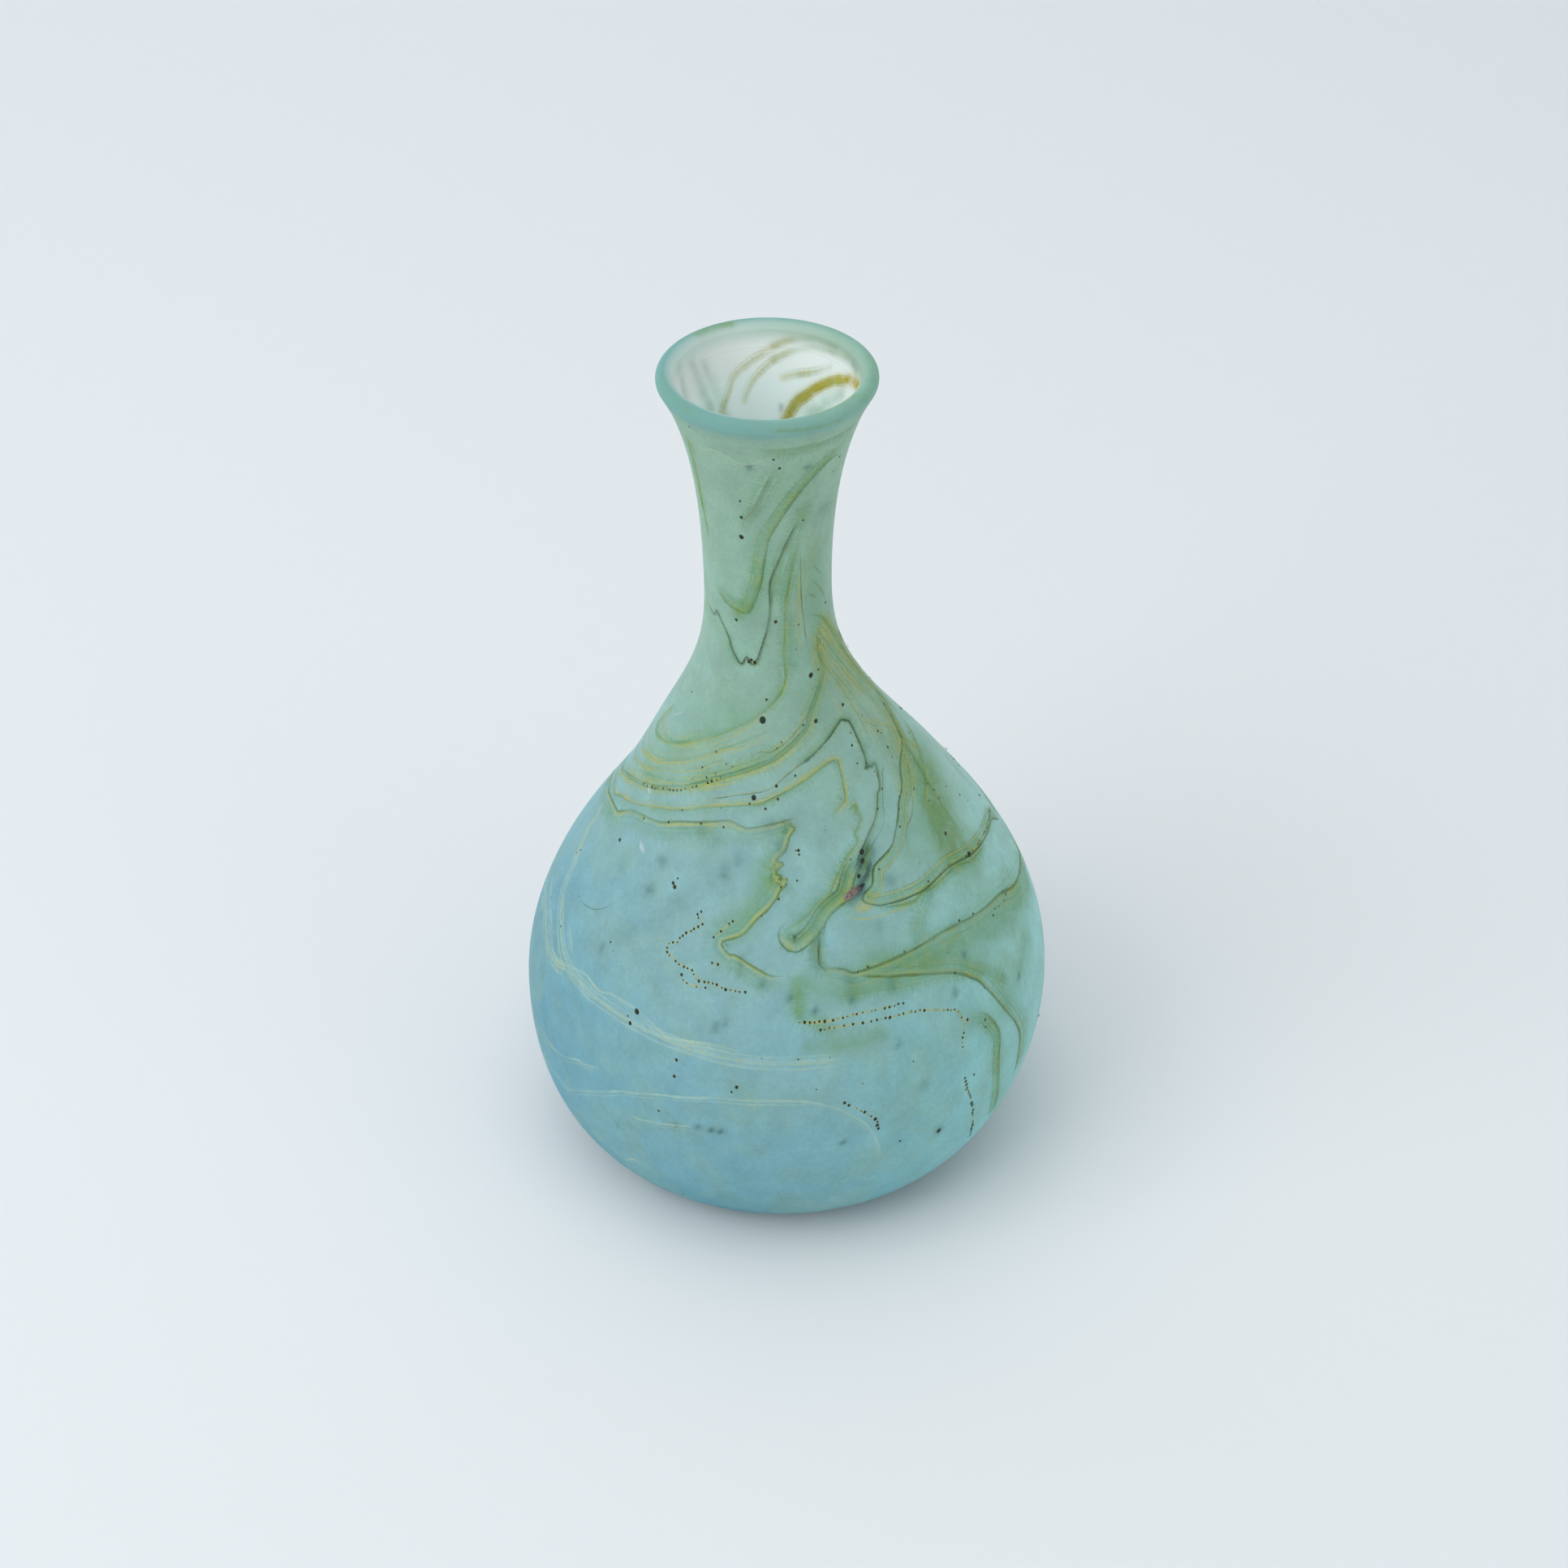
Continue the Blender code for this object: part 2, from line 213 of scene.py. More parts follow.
LEAN_HEIGHTS = outline_at([station for station, _ in LEAN])[:, 1]
LEAN_SHIFTS = np.array([shift * MM for _, shift in LEAN])


def lean_at(heights):
    """Sideways shift of the axis at each height: a smooth curve through the LEAN values."""
    z, x = LEAN_HEIGHTS, LEAN_SHIFTS
    slopes = np.zeros(len(z))
    slopes[1:-1] = (x[2:] - x[:-2]) / (z[2:] - z[:-2])
    heights = np.clip(heights, z[0], z[-1])
    i = np.clip(np.searchsorted(z, heights) - 1, 0, len(z) - 2)
    span = z[i + 1] - z[i]
    t = (heights - z[i]) / span
    return (
        (2 * t**3 - 3 * t**2 + 1) * x[i]
        + (t**3 - 2 * t**2 + t) * span * slopes[i]
        + (3 * t**2 - 2 * t**3) * x[i + 1]
        + (t**3 - t**2) * span * slopes[i + 1]
    )


def glass_thickness(stations):
    """Thick at the foot, thin up the belly and neck, in smooth steps."""
    knots, values = zip(*THICKNESS)
    i = np.clip(np.searchsorted(knots, stations) - 1, 0, len(knots) - 2)
    low, high = np.array(knots)[i], np.array(knots)[i + 1]
    share = (stations - low) / (high - low)
    share = share * share * (3 - 2 * share)
    return MM * (np.array(values)[i] + (np.array(values)[i + 1] - np.array(values)[i]) * share)


def on_ring(radius, height, angle):
    """Points at this radius and height, turned angle radians from the front towards +X."""
    x = lean_at(height) + radius * np.sin(angle)
    return np.stack((x, -radius * np.cos(angle), height + 0 * angle), -1)


def wall_point(places):
    """Points on the outer wall at (angle, station) places."""
    outline = outline_at(places[:, 1])
    return on_ring(outline[:, 0], outline[:, 1], np.radians(places[:, 0]))


def inner_outline(stations):
    """(radius, height) of the wall's inner face at each station."""
    return outline_at(stations) - glass_thickness(stations)[:, None] * outline_normal(stations)


def inner_point(places):
    """Points on the inner face of the wall at (angle, station) places."""
    inner = inner_outline(places[:, 1])
    return on_ring(inner[:, 0], inner[:, 1], np.radians(places[:, 0]))


def wall_normal(places):
    normal = outline_normal(places[:, 1])
    turn = np.radians(places[:, 0])
    made = np.stack((normal[:, 0] * np.sin(turn), -normal[:, 0] * np.cos(turn), normal[:, 1]), 1)
    return made / np.linalg.norm(made, axis=1)[:, None]


def smooth_route(route, steps=14):
    """Many places on one smooth curve through a route's places."""
    p = np.array([route[0], *route, route[-1]], float)
    t = (np.arange(steps) / steps)[None, :, None]
    a, b, c, d = p[:-3, None], p[1:-2, None], p[2:-1, None], p[3:, None]
    bend, twist = 2 * a - 5 * b + 4 * c - d, 3 * b - a - 3 * c + d
    curve = 0.5 * (2 * b + (c - a) * t + bend * t**2 + twist * t**3)
    return np.vstack((curve.reshape(-1, 2), p[-1:]))


def evenly(points, step):
    """Indices as fractions that space a line of 3-D points evenly, and the line's length."""
    lengths = np.concatenate(([0.0], np.cumsum(np.linalg.norm(np.diff(points, axis=0), axis=1))))
    count = max(3, round(lengths[-1] / step))
    wanted = np.linspace(0.0, lengths[-1], count + 1)
    return np.interp(wanted, lengths, np.arange(len(points))), wanted


def store(mesh, values):
    """Puts numbers, or vectors as rows of three, on a mesh's points."""
    for key, value in values.items():
        value = np.asarray(value, np.float32)
        kind, field = ("FLOAT_VECTOR", "vector") if value.ndim == 2 else ("FLOAT", "value")
        mesh.attributes.new(key, kind, "POINT").data.foreach_set(field, value.ravel())


def turned_mesh(name, profile, columns, closed, values):
    """A mesh turned from (radius, height) points, capped on the axis or closed on itself.

    values holds, for each attribute name, one number for each point of the profile.
    """
    turns = 2 * np.pi * np.arange(columns) / columns
    rows = len(profile)
    points = on_ring(profile[:, :1], profile[:, 1:], turns[None, :]).reshape(-1, 3)
    if closed:
        starts, ends = np.arange(rows), (np.arange(rows) + 1) % rows
    else:
        starts, ends = np.arange(rows - 1), np.arange(1, rows)
    i = np.arange(columns)
    j = (i + 1) % columns
    low, high = starts[:, None] * columns, ends[:, None] * columns
    faces = np.stack((low + i, low + j, high + j, high + i), -1).reshape(-1, 4).tolist()
    spread = {key: np.repeat(value, columns) for key, value in values.items()}
    if not closed:
        for row, turn in ((0, 1), (rows - 1, -1)):
            pole = len(points)
            points = np.vstack((points, on_ring(0.0, profile[row, 1], np.zeros(1))))
            spread = {key: np.append(spread[key], values[key][row]) for key in values}
            faces += [[row * columns + a, pole, row * columns + b][::turn] for a, b in zip(i, j)]
    mesh = bpy.data.meshes.new(name)
    mesh.from_pydata(points.tolist(), [], faces)
    store(mesh, spread)
    mesh.shade_smooth()
    return mesh


def show(name, mesh, *materials):
    """Links a finished mesh as a piece that rides with the vase."""
    for made in materials:
        mesh.materials.append(made)
    piece = bpy.data.objects.new(name, mesh)
    bpy.context.scene.collection.objects.link(piece)
    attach(piece, "root")
    return piece


# Satin glass materials


def body_colour(tree, place):
    """Colour of the aqua glass by place: bluer low, sage green up the neck and towards the right.

    Painted shade darkens and blues the left side, and painted light brightens the right. The glass
    is thicker at the foot, so it is deeper there, and painted shade near the floor darkens it more.
    The gather was unevenly mixed, so soft clouds a few centimetres wide and fine ones of a
    millimetre drift through it.
    """
    colours = bpy.context.scene.vase_colours
    split = add(tree, "ShaderNodeSeparateXYZ", {0: place})
    drift = add(
        tree, "ShaderNodeTexNoise", {"Vector": place, "Scale": 28.0, "Detail": 3.0, "Roughness": 0.5}
    )
    # The clouds move the bands of colour up or down by as much as 17.5 mm.
    shift = add(
        tree, "ShaderNodeMath",
        {0: drift.outputs["Fac"], 1: 0.035, 2: -0.0175}, operation="MULTIPLY_ADD",
    )
    height = add(tree, "ShaderNodeMath", {0: split.outputs["Z"], 1: shift.outputs[0]}, operation="ADD")
    level = add(tree, "ShaderNodeMapRange", {0: height.outputs[0], 1: 0.0, 2: 0.19})
    # side drives the painted shade on the left and the painted light on the right, by X.
    side = add(tree, "ShaderNodeMapRange", {0: split.outputs["X"], 1: -0.059, 2: 0.059})
    # The foot's deeper blue is partly its thicker glass and partly painted shade near the floor.
    by_height = (
        (0.0, colours.foot), (0.1, colours.low_belly), (0.45, colours.belly),
        (0.62, colours.neck_root), (1.0, colours.neck),
    )
    # The tint from left to right is painted shade on the left and painted light on the right.
    # It holds half of each factor, as a ramp stops at 1.
    side_tint_light_and_shade = (
        (0.0, (0.23, 0.32, 0.39)), (0.14, (0.43, 0.46, 0.48)), (0.45, (0.525, 0.495, 0.5)),
        (0.72, (0.54, 0.54, 0.51)), (1.0, (0.75, 0.755, 0.645)),
    )
    ramps = []
    for value, stops in ((level, by_height), (side, side_tint_light_and_shade)):
        ramp = add(tree, "ShaderNodeValToRGB", {0: value.outputs[0]})
        for i, (at, colour) in enumerate(stops):
            stop = ramp.color_ramp.elements[i] if i < 2 else ramp.color_ramp.elements.new(at)
            stop.position = at
            stop.color = (*colour, 1.0)
        ramp.color_ramp.interpolation = "B_SPLINE"
        ramps.append(ramp.outputs[0])
    halved = add(
        tree, "ShaderNodeMix",
        {0: 1.0, 6: ramps[0], 7: ramps[1]}, data_type="RGBA", blend_type="MULTIPLY",
    )
    tinted = add(tree, "ShaderNodeVectorMath", {0: halved.outputs[2], "Scale": 2.0}, operation="SCALE")
    # Patches about a centimetre wide lean to yellow green, as the batch was never quite stirred in.
    patches = add(
        tree, "ShaderNodeTexNoise",
        {"Vector": place, "Scale": 75.0, "Detail": 5.0, "Roughness": 0.6, "Distortion": 0.8},
    )
    share = add(tree, "ShaderNodeMapRange", {0: patches.outputs["Fac"], 1: 0.42, 2: 0.7, 3: 0.0, 4: 0.38})
    tinted = add(
        tree, "ShaderNodeMix",
        {0: share.outputs[0], 6: tinted.outputs[0], 7: linear("#93b398")}, data_type="RGBA",
    )
    mottle = add(
        tree, "ShaderNodeTexNoise", {"Vector": place, "Scale": 160.0, "Detail": 4.0, "Roughness": 0.62}
    )
    soft = add(tree, "ShaderNodeMapRange", {0: mottle.outputs["Fac"], 1: 0.3, 2: 0.7, 3: 0.9, 4: 1.08})
    # Fine seed, about a millimetre across, gives the satin its dry, slightly speckled look.
    seedy = add(
        tree, "ShaderNodeTexNoise", {"Vector": place, "Scale": 950.0, "Detail": 3.0, "Roughness": 0.7}
    )
    speckled = add(
        tree, "ShaderNodeMapRange", {0: seedy.outputs["Fac"], 1: 0.3, 2: 0.7, 3: 0.93, 4: 1.06}
    )
    both = add(
        tree, "ShaderNodeMath", {0: soft.outputs[0], 1: speckled.outputs[0]}, operation="MULTIPLY"
    )
    return add(
        tree, "ShaderNodeMix",
        {0: 1.0, 6: tinted.outputs[2], 7: both.outputs[0]}, data_type="RGBA", blend_type="MULTIPLY",
    ).outputs[2]


def etched(tree, place, shader):
    """Acid-etched satin finish: an even tooth of about 0.25 mm, seen only as a dry, matt sheen."""
    tooth = add(tree, "ShaderNodeTexNoise", {"Vector": place, "Scale": 4000.0, "Detail": 2.0})
    wave = add(tree, "ShaderNodeTexNoise", {"Vector": place, "Scale": 90.0, "Detail": 2.0})
    grain = add(
        tree, "ShaderNodeBump", {"Height": tooth.outputs["Fac"], "Distance": 0.02 * MM, "Strength": 0.5}
    )
    waves = add(
        tree, "ShaderNodeBump",
        {
            "Height": wave.outputs["Fac"], "Distance": 0.4 * MM, "Strength": 0.35,
            "Normal": grain.outputs[0],
        },
    )
    tree.links.new(waves.outputs[0], shader.inputs["Normal"])


def satin_glass(name):
    """An empty satin glass material: its tree, its shader and the object's own coordinates."""
    made = bpy.data.materials.new(name)
    made.use_nodes = True
    tree = made.node_tree
    shader = tree.nodes["Principled BSDF"]
    shader.inputs["IOR"].default_value = 1.5
    shader.inputs["Roughness"].default_value = 0.62
    shader.inputs["Specular IOR Level"].default_value = 0.28
    place = add(tree, "ShaderNodeTexCoord").outputs["Object"]
    return made, tree, shader, place


def let_light_through(tree, shader):
    """Satin soda-lime glass scatters light inside, most in the green and blue, some 4 mm deep.

    The glow fades where the lip melts into the wall, so neither loses light into the other.
    """
    glow = add(tree, "ShaderNodeAttribute", attribute_name="glow").outputs["Fac"]
    tree.links.new(glow, shader.inputs["Subsurface Weight"])
    shader.inputs["Subsurface Radius"].default_value = (0.55, 0.95, 1.0)
    shader.inputs["Subsurface Scale"].default_value = 4.0 * MM


def stained(tree, colour, place, channel, stain, strength):
    """Lays a soft stain of coloured glass over a colour, torn into wisps by noise."""
    amount = add(tree, "ShaderNodeAttribute", attribute_name=channel).outputs["Fac"]
    wisps = add(
        tree, "ShaderNodeTexNoise",
        {"Vector": place, "Scale": 230.0, "Detail": 5.0, "Roughness": 0.6, "Distortion": 0.6},
    )
    torn = add(
        tree, "ShaderNodeMapRange",
        {0: wisps.outputs["Fac"], 1: 0.3, 2: 0.68, 3: 0.45 * strength, 4: 1.25 * strength},
    )
    cover = add(
        tree, "ShaderNodeMath", {0: amount, 1: torn.outputs[0]}, operation="MULTIPLY", use_clamp=True,
    )
    return add(
        tree, "ShaderNodeMix", {0: cover.outputs[0], 6: colour, 7: linear(stain)}, data_type="RGBA",
    ).outputs[2]


def marbled(tree, colour, place):
    """Lays every soft cloud of coloured glass over a colour."""
    for channel, (tint, strength) in STAINS.items():
        colour = stained(tree, colour, place, channel, tint, strength)
    return colour


def aqua_satin_glass():
    """The blown wall: aqua soda-lime glass, etched all over to an even satin."""
    made, tree, shader, place = satin_glass("aqua_satin_glass")
    let_light_through(tree, shader)
    colour = body_colour(tree, place)
    inside = add(tree, "ShaderNodeAttribute", attribute_name="inside").outputs["Fac"]
    # Inside, the colour is painted almost white: painted light for what comes through the neck.
    lined = add(tree, "ShaderNodeMix", {0: inside, 6: colour, 7: linear(LINING)}, data_type="RGBA")
    tree.links.new(marbled(tree, lined.outputs[2], place), shader.inputs["Base Color"])
    etched(tree, place, shader)
    return made


def teal_satin_glass():
    """The lip thread: the same glass laid on thicker, so it looks a deeper teal at its round edge."""
    made, tree, shader, place = satin_glass("teal_satin_glass")
    let_light_through(tree, shader)
    colour = body_colour(tree, place)
    lip, inside = (
        add(tree, "ShaderNodeAttribute", attribute_name=key).outputs["Fac"] for key in ("lip", "inside")
    )
    split = add(tree, "ShaderNodeSeparateXYZ", {0: place})
    # Outside, the teal is laid on deepest on the left, which is painted shade.
    side = add(tree, "ShaderNodeMapRange", {0: split.outputs["X"], 1: -0.026, 2: 0.018, 3: 0.85, 4: 0.4})
    teal_depth_and_shade = add(tree, "ShaderNodeMath", {0: lip, 1: side.outputs[0]}, operation="MULTIPLY")
    deep_teal_and_shade = add(
        tree, "ShaderNodeMix", {0: teal_depth_and_shade.outputs[0], 6: colour, 7: linear(LIP_TEAL)}, data_type="RGBA",
    )
    # Inside, the lip is palest where it runs into the wall, with the lining's painted light, and
    # a darker green at its crown and right, which is painted shade.
    side = add(tree, "ShaderNodeMapRange", {0: split.outputs["X"], 1: -0.012, 2: 0.016, 3: 0.3, 4: 0.95})
    shade = add(tree, "ShaderNodeMath", {0: lip, 1: side.outputs[0]}, operation="MULTIPLY")
    lining = add(
        tree, "ShaderNodeMix",
        {0: shade.outputs[0], 6: linear(LINING), 7: linear(SHADED_LIP_LINING)}, data_type="RGBA",
    )
    lined = add(
        tree, "ShaderNodeMix", {0: inside, 6: deep_teal_and_shade.outputs[2], 7: lining.outputs[2]}, data_type="RGBA",
    )
    tree.links.new(marbled(tree, lined.outputs[2], place), shader.inputs["Base Color"])
    etched(tree, place, shader)
    return made


def thread_glass(name, colour, second, lowest, soft_edge):
    """Coloured glass drawn into the wall as fine threads, whose filaments run along the trail.

    It is laid in translucent: the aqua shows through where the filaments part and at the edges.
    """
    _, tree, shader, place = satin_glass(name)
    across, along, width, opacity = (
        add(tree, "ShaderNodeAttribute", attribute_name=key).outputs["Fac"]
        for key in ("across", "along", "half_width", "opacity")
    )
    sideways = add(tree, "ShaderNodeMath", {0: across, 1: width}, operation="MULTIPLY")
    grain = add(tree, "ShaderNodeCombineXYZ", {0: sideways.outputs[0], 1: along, 2: opacity})
    # Filaments about 0.3 mm apart and 6 mm long.
    stretched = add(
        tree, "ShaderNodeMapping", {"Vector": grain.outputs[0], "Scale": (3200.0, 160.0, 3.0)}
    )
    filaments = add(
        tree, "ShaderNodeTexNoise", {"Vector": stretched.outputs[0], "Scale": 1.0, "Detail": 3.0}
    )
    patches = add(tree, "ShaderNodeTexNoise", {"Vector": place, "Scale": 420.0, "Detail": 3.0})
    # The edge frays into short barbs, about 0.4 mm apart, where the glass was combed.
    combed = add(tree, "ShaderNodeMapping", {"Vector": grain.outputs[0], "Scale": (500.0, 2400.0, 3.0)})
    barbs = add(tree, "ShaderNodeTexNoise", {"Vector": combed.outputs[0], "Scale": 1.0, "Detail": 2.0})
    fray = add(tree, "ShaderNodeMapRange", {0: barbs.outputs["Fac"], 1: 0.25, 2: 0.75, 3: -0.35, 4: 0.3})
    distance = add(tree, "ShaderNodeMath", {0: across}, operation="ABSOLUTE")
    distance = add(tree, "ShaderNodeMath", {0: distance.outputs[0], 1: fray.outputs[0]}, operation="ADD")
    edge = add(
        tree, "ShaderNodeMapRange",
        {0: distance.outputs[0], 1: 1.0 - soft_edge, 2: 1.0, 3: 1.0, 4: 0.0},
        interpolation_type="SMOOTHSTEP",
    )
    parted = add(
        tree, "ShaderNodeMapRange", {0: filaments.outputs["Fac"], 1: 0.32, 2: 0.62, 3: lowest, 4: 1.0}
    )
    patchy = add(
        tree, "ShaderNodeMapRange", {0: patches.outputs["Fac"], 1: 0.3, 2: 0.6, 3: 0.75, 4: 1.0}
    )
    # Over a centimetre or so a thread thins out and thickens again.
    swells = add(tree, "ShaderNodeTexNoise", {"Vector": place, "Scale": 105.0, "Detail": 1.0})
    fading = add(
        tree, "ShaderNodeMapRange", {0: swells.outputs["Fac"], 1: 0.34, 2: 0.58, 3: 0.55, 4: 1.0}
    )
    cover = opacity
    for share in (edge, parted, patchy, fading):
        product = add(tree, "ShaderNodeMath", {0: cover, 1: share.outputs[0]}, operation="MULTIPLY")
        cover = product.outputs[0]
    hue = add(tree, "ShaderNodeMapRange", {0: patches.outputs["Fac"], 1: 0.35, 2: 0.65})
    mixed = add(
        tree, "ShaderNodeMix",
        {0: hue.outputs[0], 6: linear(colour), 7: linear(second)}, data_type="RGBA",
    )
    tree.links.new(mixed.outputs[2], shader.inputs["Base Color"])
    tree.links.new(cover, shader.inputs["Alpha"])


def burnt_seed():
    """Iron-stained blister: a dark brown to bottle green bead, glossier than the etched wall."""
    made, tree, shader, place = satin_glass("burnt_seed_glass")
    shader.inputs["Roughness"].default_value = 0.5
    patches = add(tree, "ShaderNodeTexNoise", {"Vector": place, "Scale": 700.0, "Detail": 2.0})
    share = add(tree, "ShaderNodeMapRange", {0: patches.outputs["Fac"], 1: 0.4, 2: 0.6})
    mixed = add(
        tree, "ShaderNodeMix",
        {0: share.outputs[0], 6: linear("#1e2219"), 7: linear("#1f332c")}, data_type="RGBA",
    )
    tree.links.new(mixed.outputs[2], shader.inputs["Base Color"])
    return made


def amber_halo():
    """The stain that bleeds from a blister into the glass round it: olive amber, fading to nothing."""
    made, tree, shader, place = satin_glass("amber_halo_glass")
    rim = add(tree, "ShaderNodeAttribute", attribute_name="rim").outputs["Fac"]
    patches = add(tree, "ShaderNodeTexNoise", {"Vector": place, "Scale": 900.0, "Detail": 2.0})
    fade = add(
        tree, "ShaderNodeMapRange",
        {0: rim, 1: 0.3, 2: 1.0, 3: 0.95, 4: 0.0}, interpolation_type="SMOOTHSTEP",
    )
    torn = add(tree, "ShaderNodeMapRange", {0: patches.outputs["Fac"], 1: 0.3, 2: 0.6, 3: 0.4, 4: 1.0})
    cover = add(tree, "ShaderNodeMath", {0: fade.outputs[0], 1: torn.outputs[0]}, operation="MULTIPLY")
    mixed = add(
        tree, "ShaderNodeMix",
        {0: patches.outputs["Fac"], 6: linear("#7f8a3c"), 7: linear("#b3b458")}, data_type="RGBA",
    )
    tree.links.new(mixed.outputs[2], shader.inputs["Base Color"])
    tree.links.new(cover.outputs[0], shader.inputs["Alpha"])
    return made


def pink_stone():
    """Unmelted batch stone: a fired, chalky pink crumb, dark in its pores and at its drawn-out end."""
    made, tree, shader, place = satin_glass("batch_stone")
    shader.inputs["Roughness"].default_value = 0.8
    grains = add(
        tree, "ShaderNodeTexNoise", {"Vector": place, "Scale": 1600.0, "Detail": 4.0, "Roughness": 0.6}
    )
    share = add(tree, "ShaderNodeMapRange", {0: grains.outputs["Fac"], 1: 0.36, 2: 0.62})
    mixed = add(
        tree, "ShaderNodeMix",
        {0: share.outputs[0], 6: linear("#55504a"), 7: linear("#9c8984")}, data_type="RGBA",
    )
    drawn = add(tree, "ShaderNodeAttribute", attribute_name="drawn_out").outputs["Fac"]
    mixed = add(
        tree, "ShaderNodeMix", {0: drawn, 6: mixed.outputs[2], 7: linear("#2c3634")}, data_type="RGBA",
    )
    tree.links.new(mixed.outputs[2], shader.inputs["Base Color"])
    pores = add(
        tree, "ShaderNodeBump", {"Height": grains.outputs["Fac"], "Distance": 0.08 * MM, "Strength": 0.6}
    )
    tree.links.new(pores.outputs[0], shader.inputs["Normal"])
    return made


# Marbled trails


# Each bundle is the threads that lie side by side in one trail: the glass of each, how far it
# lies to the right of the route, its half width (both in millimetres) and how much it covers.
BUNDLES = {
    "dark_line": (
        ("smoke", -0.6, 1.3, 0.45), ("olive", -0.35, 0.4, 0.65), ("green", 0.0, 0.28, 1.0),
        ("straw", 0.5, 0.14, 0.4),
    ),
    "loop_line": (("smoke", 0.1, 1.0, 0.35), ("rust", 0.3, 0.26, 0.6), ("green", 0.0, 0.24, 0.95)),
    "hair": (("green", 0.0, 0.15, 0.7),),
    "olive_band": (
        ("smoke", 0.9, 2.0, 0.75), ("olive", -0.1, 0.6, 0.7), ("green", -0.35, 0.16, 0.6),
        ("straw", 0.55, 0.2, 0.45), ("olive", 1.9, 0.25, 0.45),
    ),
    "olive_wide": (
        ("smoke", 0.2, 2.8, 0.85), ("olive", 0.3, 1.2, 0.5), ("olive", -1.6, 0.36, 0.8),
        ("green", -1.8, 0.18, 0.6), ("green", 1.35, 0.3, 0.65), ("green", 0.5, 0.3, 0.35),
        ("straw", -0.7, 0.24, 0.6), ("straw", -1.15, 0.16, 0.45),
    ),
    "olive_line": (("smoke", 0.3, 1.5, 0.45), ("olive", 0.0, 0.42, 0.8), ("straw", -0.5, 0.2, 0.5)),
    "sweep": (
        ("smoke", 0.1, 2.2, 0.55), ("olive", 0.0, 0.6, 0.6), ("green", 0.5, 0.16, 0.5),
        ("straw", -0.75, 0.26, 0.7), ("straw", -1.4, 0.18, 0.5), ("straw", 1.1, 0.18, 0.5),
        ("rust", -0.3, 0.13, 0.4), ("straw", 1.9, 0.14, 0.35),
    ),
    "straw_line": (("straw", 0.0, 0.3, 0.8),),
    "straw_pair": (
        ("smoke", 0.1, 1.2, 0.25), ("straw", -0.3, 0.24, 0.8), ("straw", 0.5, 0.18, 0.6),
        ("olive", 0.1, 0.14, 0.5),
    ),
    "straw_sweep": (
        ("smoke", 0.6, 1.7, 0.4), ("olive", 0.45, 0.32, 0.65), ("rust", 0.16, 0.15, 0.5),
        ("straw", 0.0, 0.32, 0.85), ("straw", -0.8, 0.15, 0.45),
    ),
    "feather": (
        ("smoke", 1.9, 2.7, 0.45), ("olive", 0.05, 0.42, 0.8), ("rust", -0.12, 0.17, 0.65),
        ("straw", 0.5, 0.28, 0.75), ("olive", 1.2, 0.2, 0.35),
    ),
    "rust_hair": (("rust", 0.0, 0.14, 0.75), ("straw", 0.3, 0.16, 0.5)),
    "hook": (
        ("smoke", -0.8, 1.9, 0.6), ("olive", 0.25, 0.4, 0.85), ("green", 0.4, 0.22, 0.85),
        ("straw", -0.3, 0.2, 0.5), ("straw", -1.8, 0.26, 0.65), ("olive", -1.4, 0.2, 0.5),
        ("rust", -2.1, 0.12, 0.5),
    ),
    "ridge": (
        ("smoke", -2.2, 3.6, 0.45), ("smoke", -0.3, 1.0, 0.5), ("olive", 0.1, 0.42, 0.85),
        ("green", 0.3, 0.17, 0.55), ("rust", 0.05, 0.18, 0.5), ("straw", -0.55, 0.24, 0.55),
        ("olive", -1.7, 0.3, 0.4), ("straw", -2.6, 0.2, 0.3),
    ),
    "opal_drape": (
        ("pale", 0.0, 1.0, 0.65), ("pale", 1.4, 0.4, 0.65), ("pale", -1.3, 0.3, 0.5),
        ("straw", 0.2, 0.18, 0.35),
    ),
    "opal_line": (("pale", 0.0, 0.45, 0.75), ("pale", 0.9, 0.24, 0.45)),
    "smear": (("smoke", 0.2, 2.6, 0.5), ("rust", 0.0, 1.2, 0.22), ("rust", 0.5, 0.2, 0.3)),
    "haze": (("smoke", 0.0, 2.4, 0.6), ("olive", 0.6, 0.25, 0.25)),
    "wide_haze": (("smoke", 0.0, 4.5, 0.4), ("olive", 1.4, 0.3, 0.2), ("straw", -1.2, 0.25, 0.25)),
    "stream": (
        ("smoke", 0.0, 3.2, 0.22), ("straw", -2.5, 0.16, 0.6), ("straw", -1.7, 0.2, 0.75),
        ("olive", -1.1, 0.2, 0.5), ("straw", -0.5, 0.16, 0.65), ("olive", 0.1, 0.3, 0.6),
        ("straw", 0.7, 0.2, 0.7), ("rust", 1.2, 0.13, 0.5), ("straw", 1.9, 0.2, 0.65),
        ("straw", 2.7, 0.15, 0.5),
    ),
    "combed": (
        ("straw", -1.4, 0.18, 0.6), ("straw", -0.6, 0.24, 0.75), ("olive", 0.0, 0.22, 0.5),
        ("straw", 0.8, 0.18, 0.6), ("straw", 1.6, 0.13, 0.4),
    ),
    "dark_core": (("green", 0.0, 0.7, 0.9), ("green", 0.8, 0.3, 0.7), ("olive", -1.0, 0.6, 0.7)),
    "stone_tail": (("green", 0.0, 0.6, 0.9), ("olive", 0.7, 0.3, 0.6), ("rust", -0.4, 0.2, 0.5)),
    "yellow_wedge": (("straw", 0.0, 1.3, 0.8), ("straw", 0.6, 0.4, 0.8)),
    "gold_streak": (
        ("straw", 0.0, 0.7, 0.75), ("straw", 1.0, 0.22, 0.6), ("straw", -0.9, 0.3, 0.6),
        ("olive", 0.5, 0.2, 0.4),
    ),
    "inner_wisp": (("straw", 0.0, 0.4, 0.5), ("olive", 0.6, 0.3, 0.25), ("straw", -0.8, 0.2, 0.4)),
    "blister_thread": (("straw", 0.0, 0.28, 0.75),),
    "scuff": (("scuff", 0.0, 0.75, 0.9),),
    "scratch": (("scuff", 0.0, 0.18, 0.75),),
}

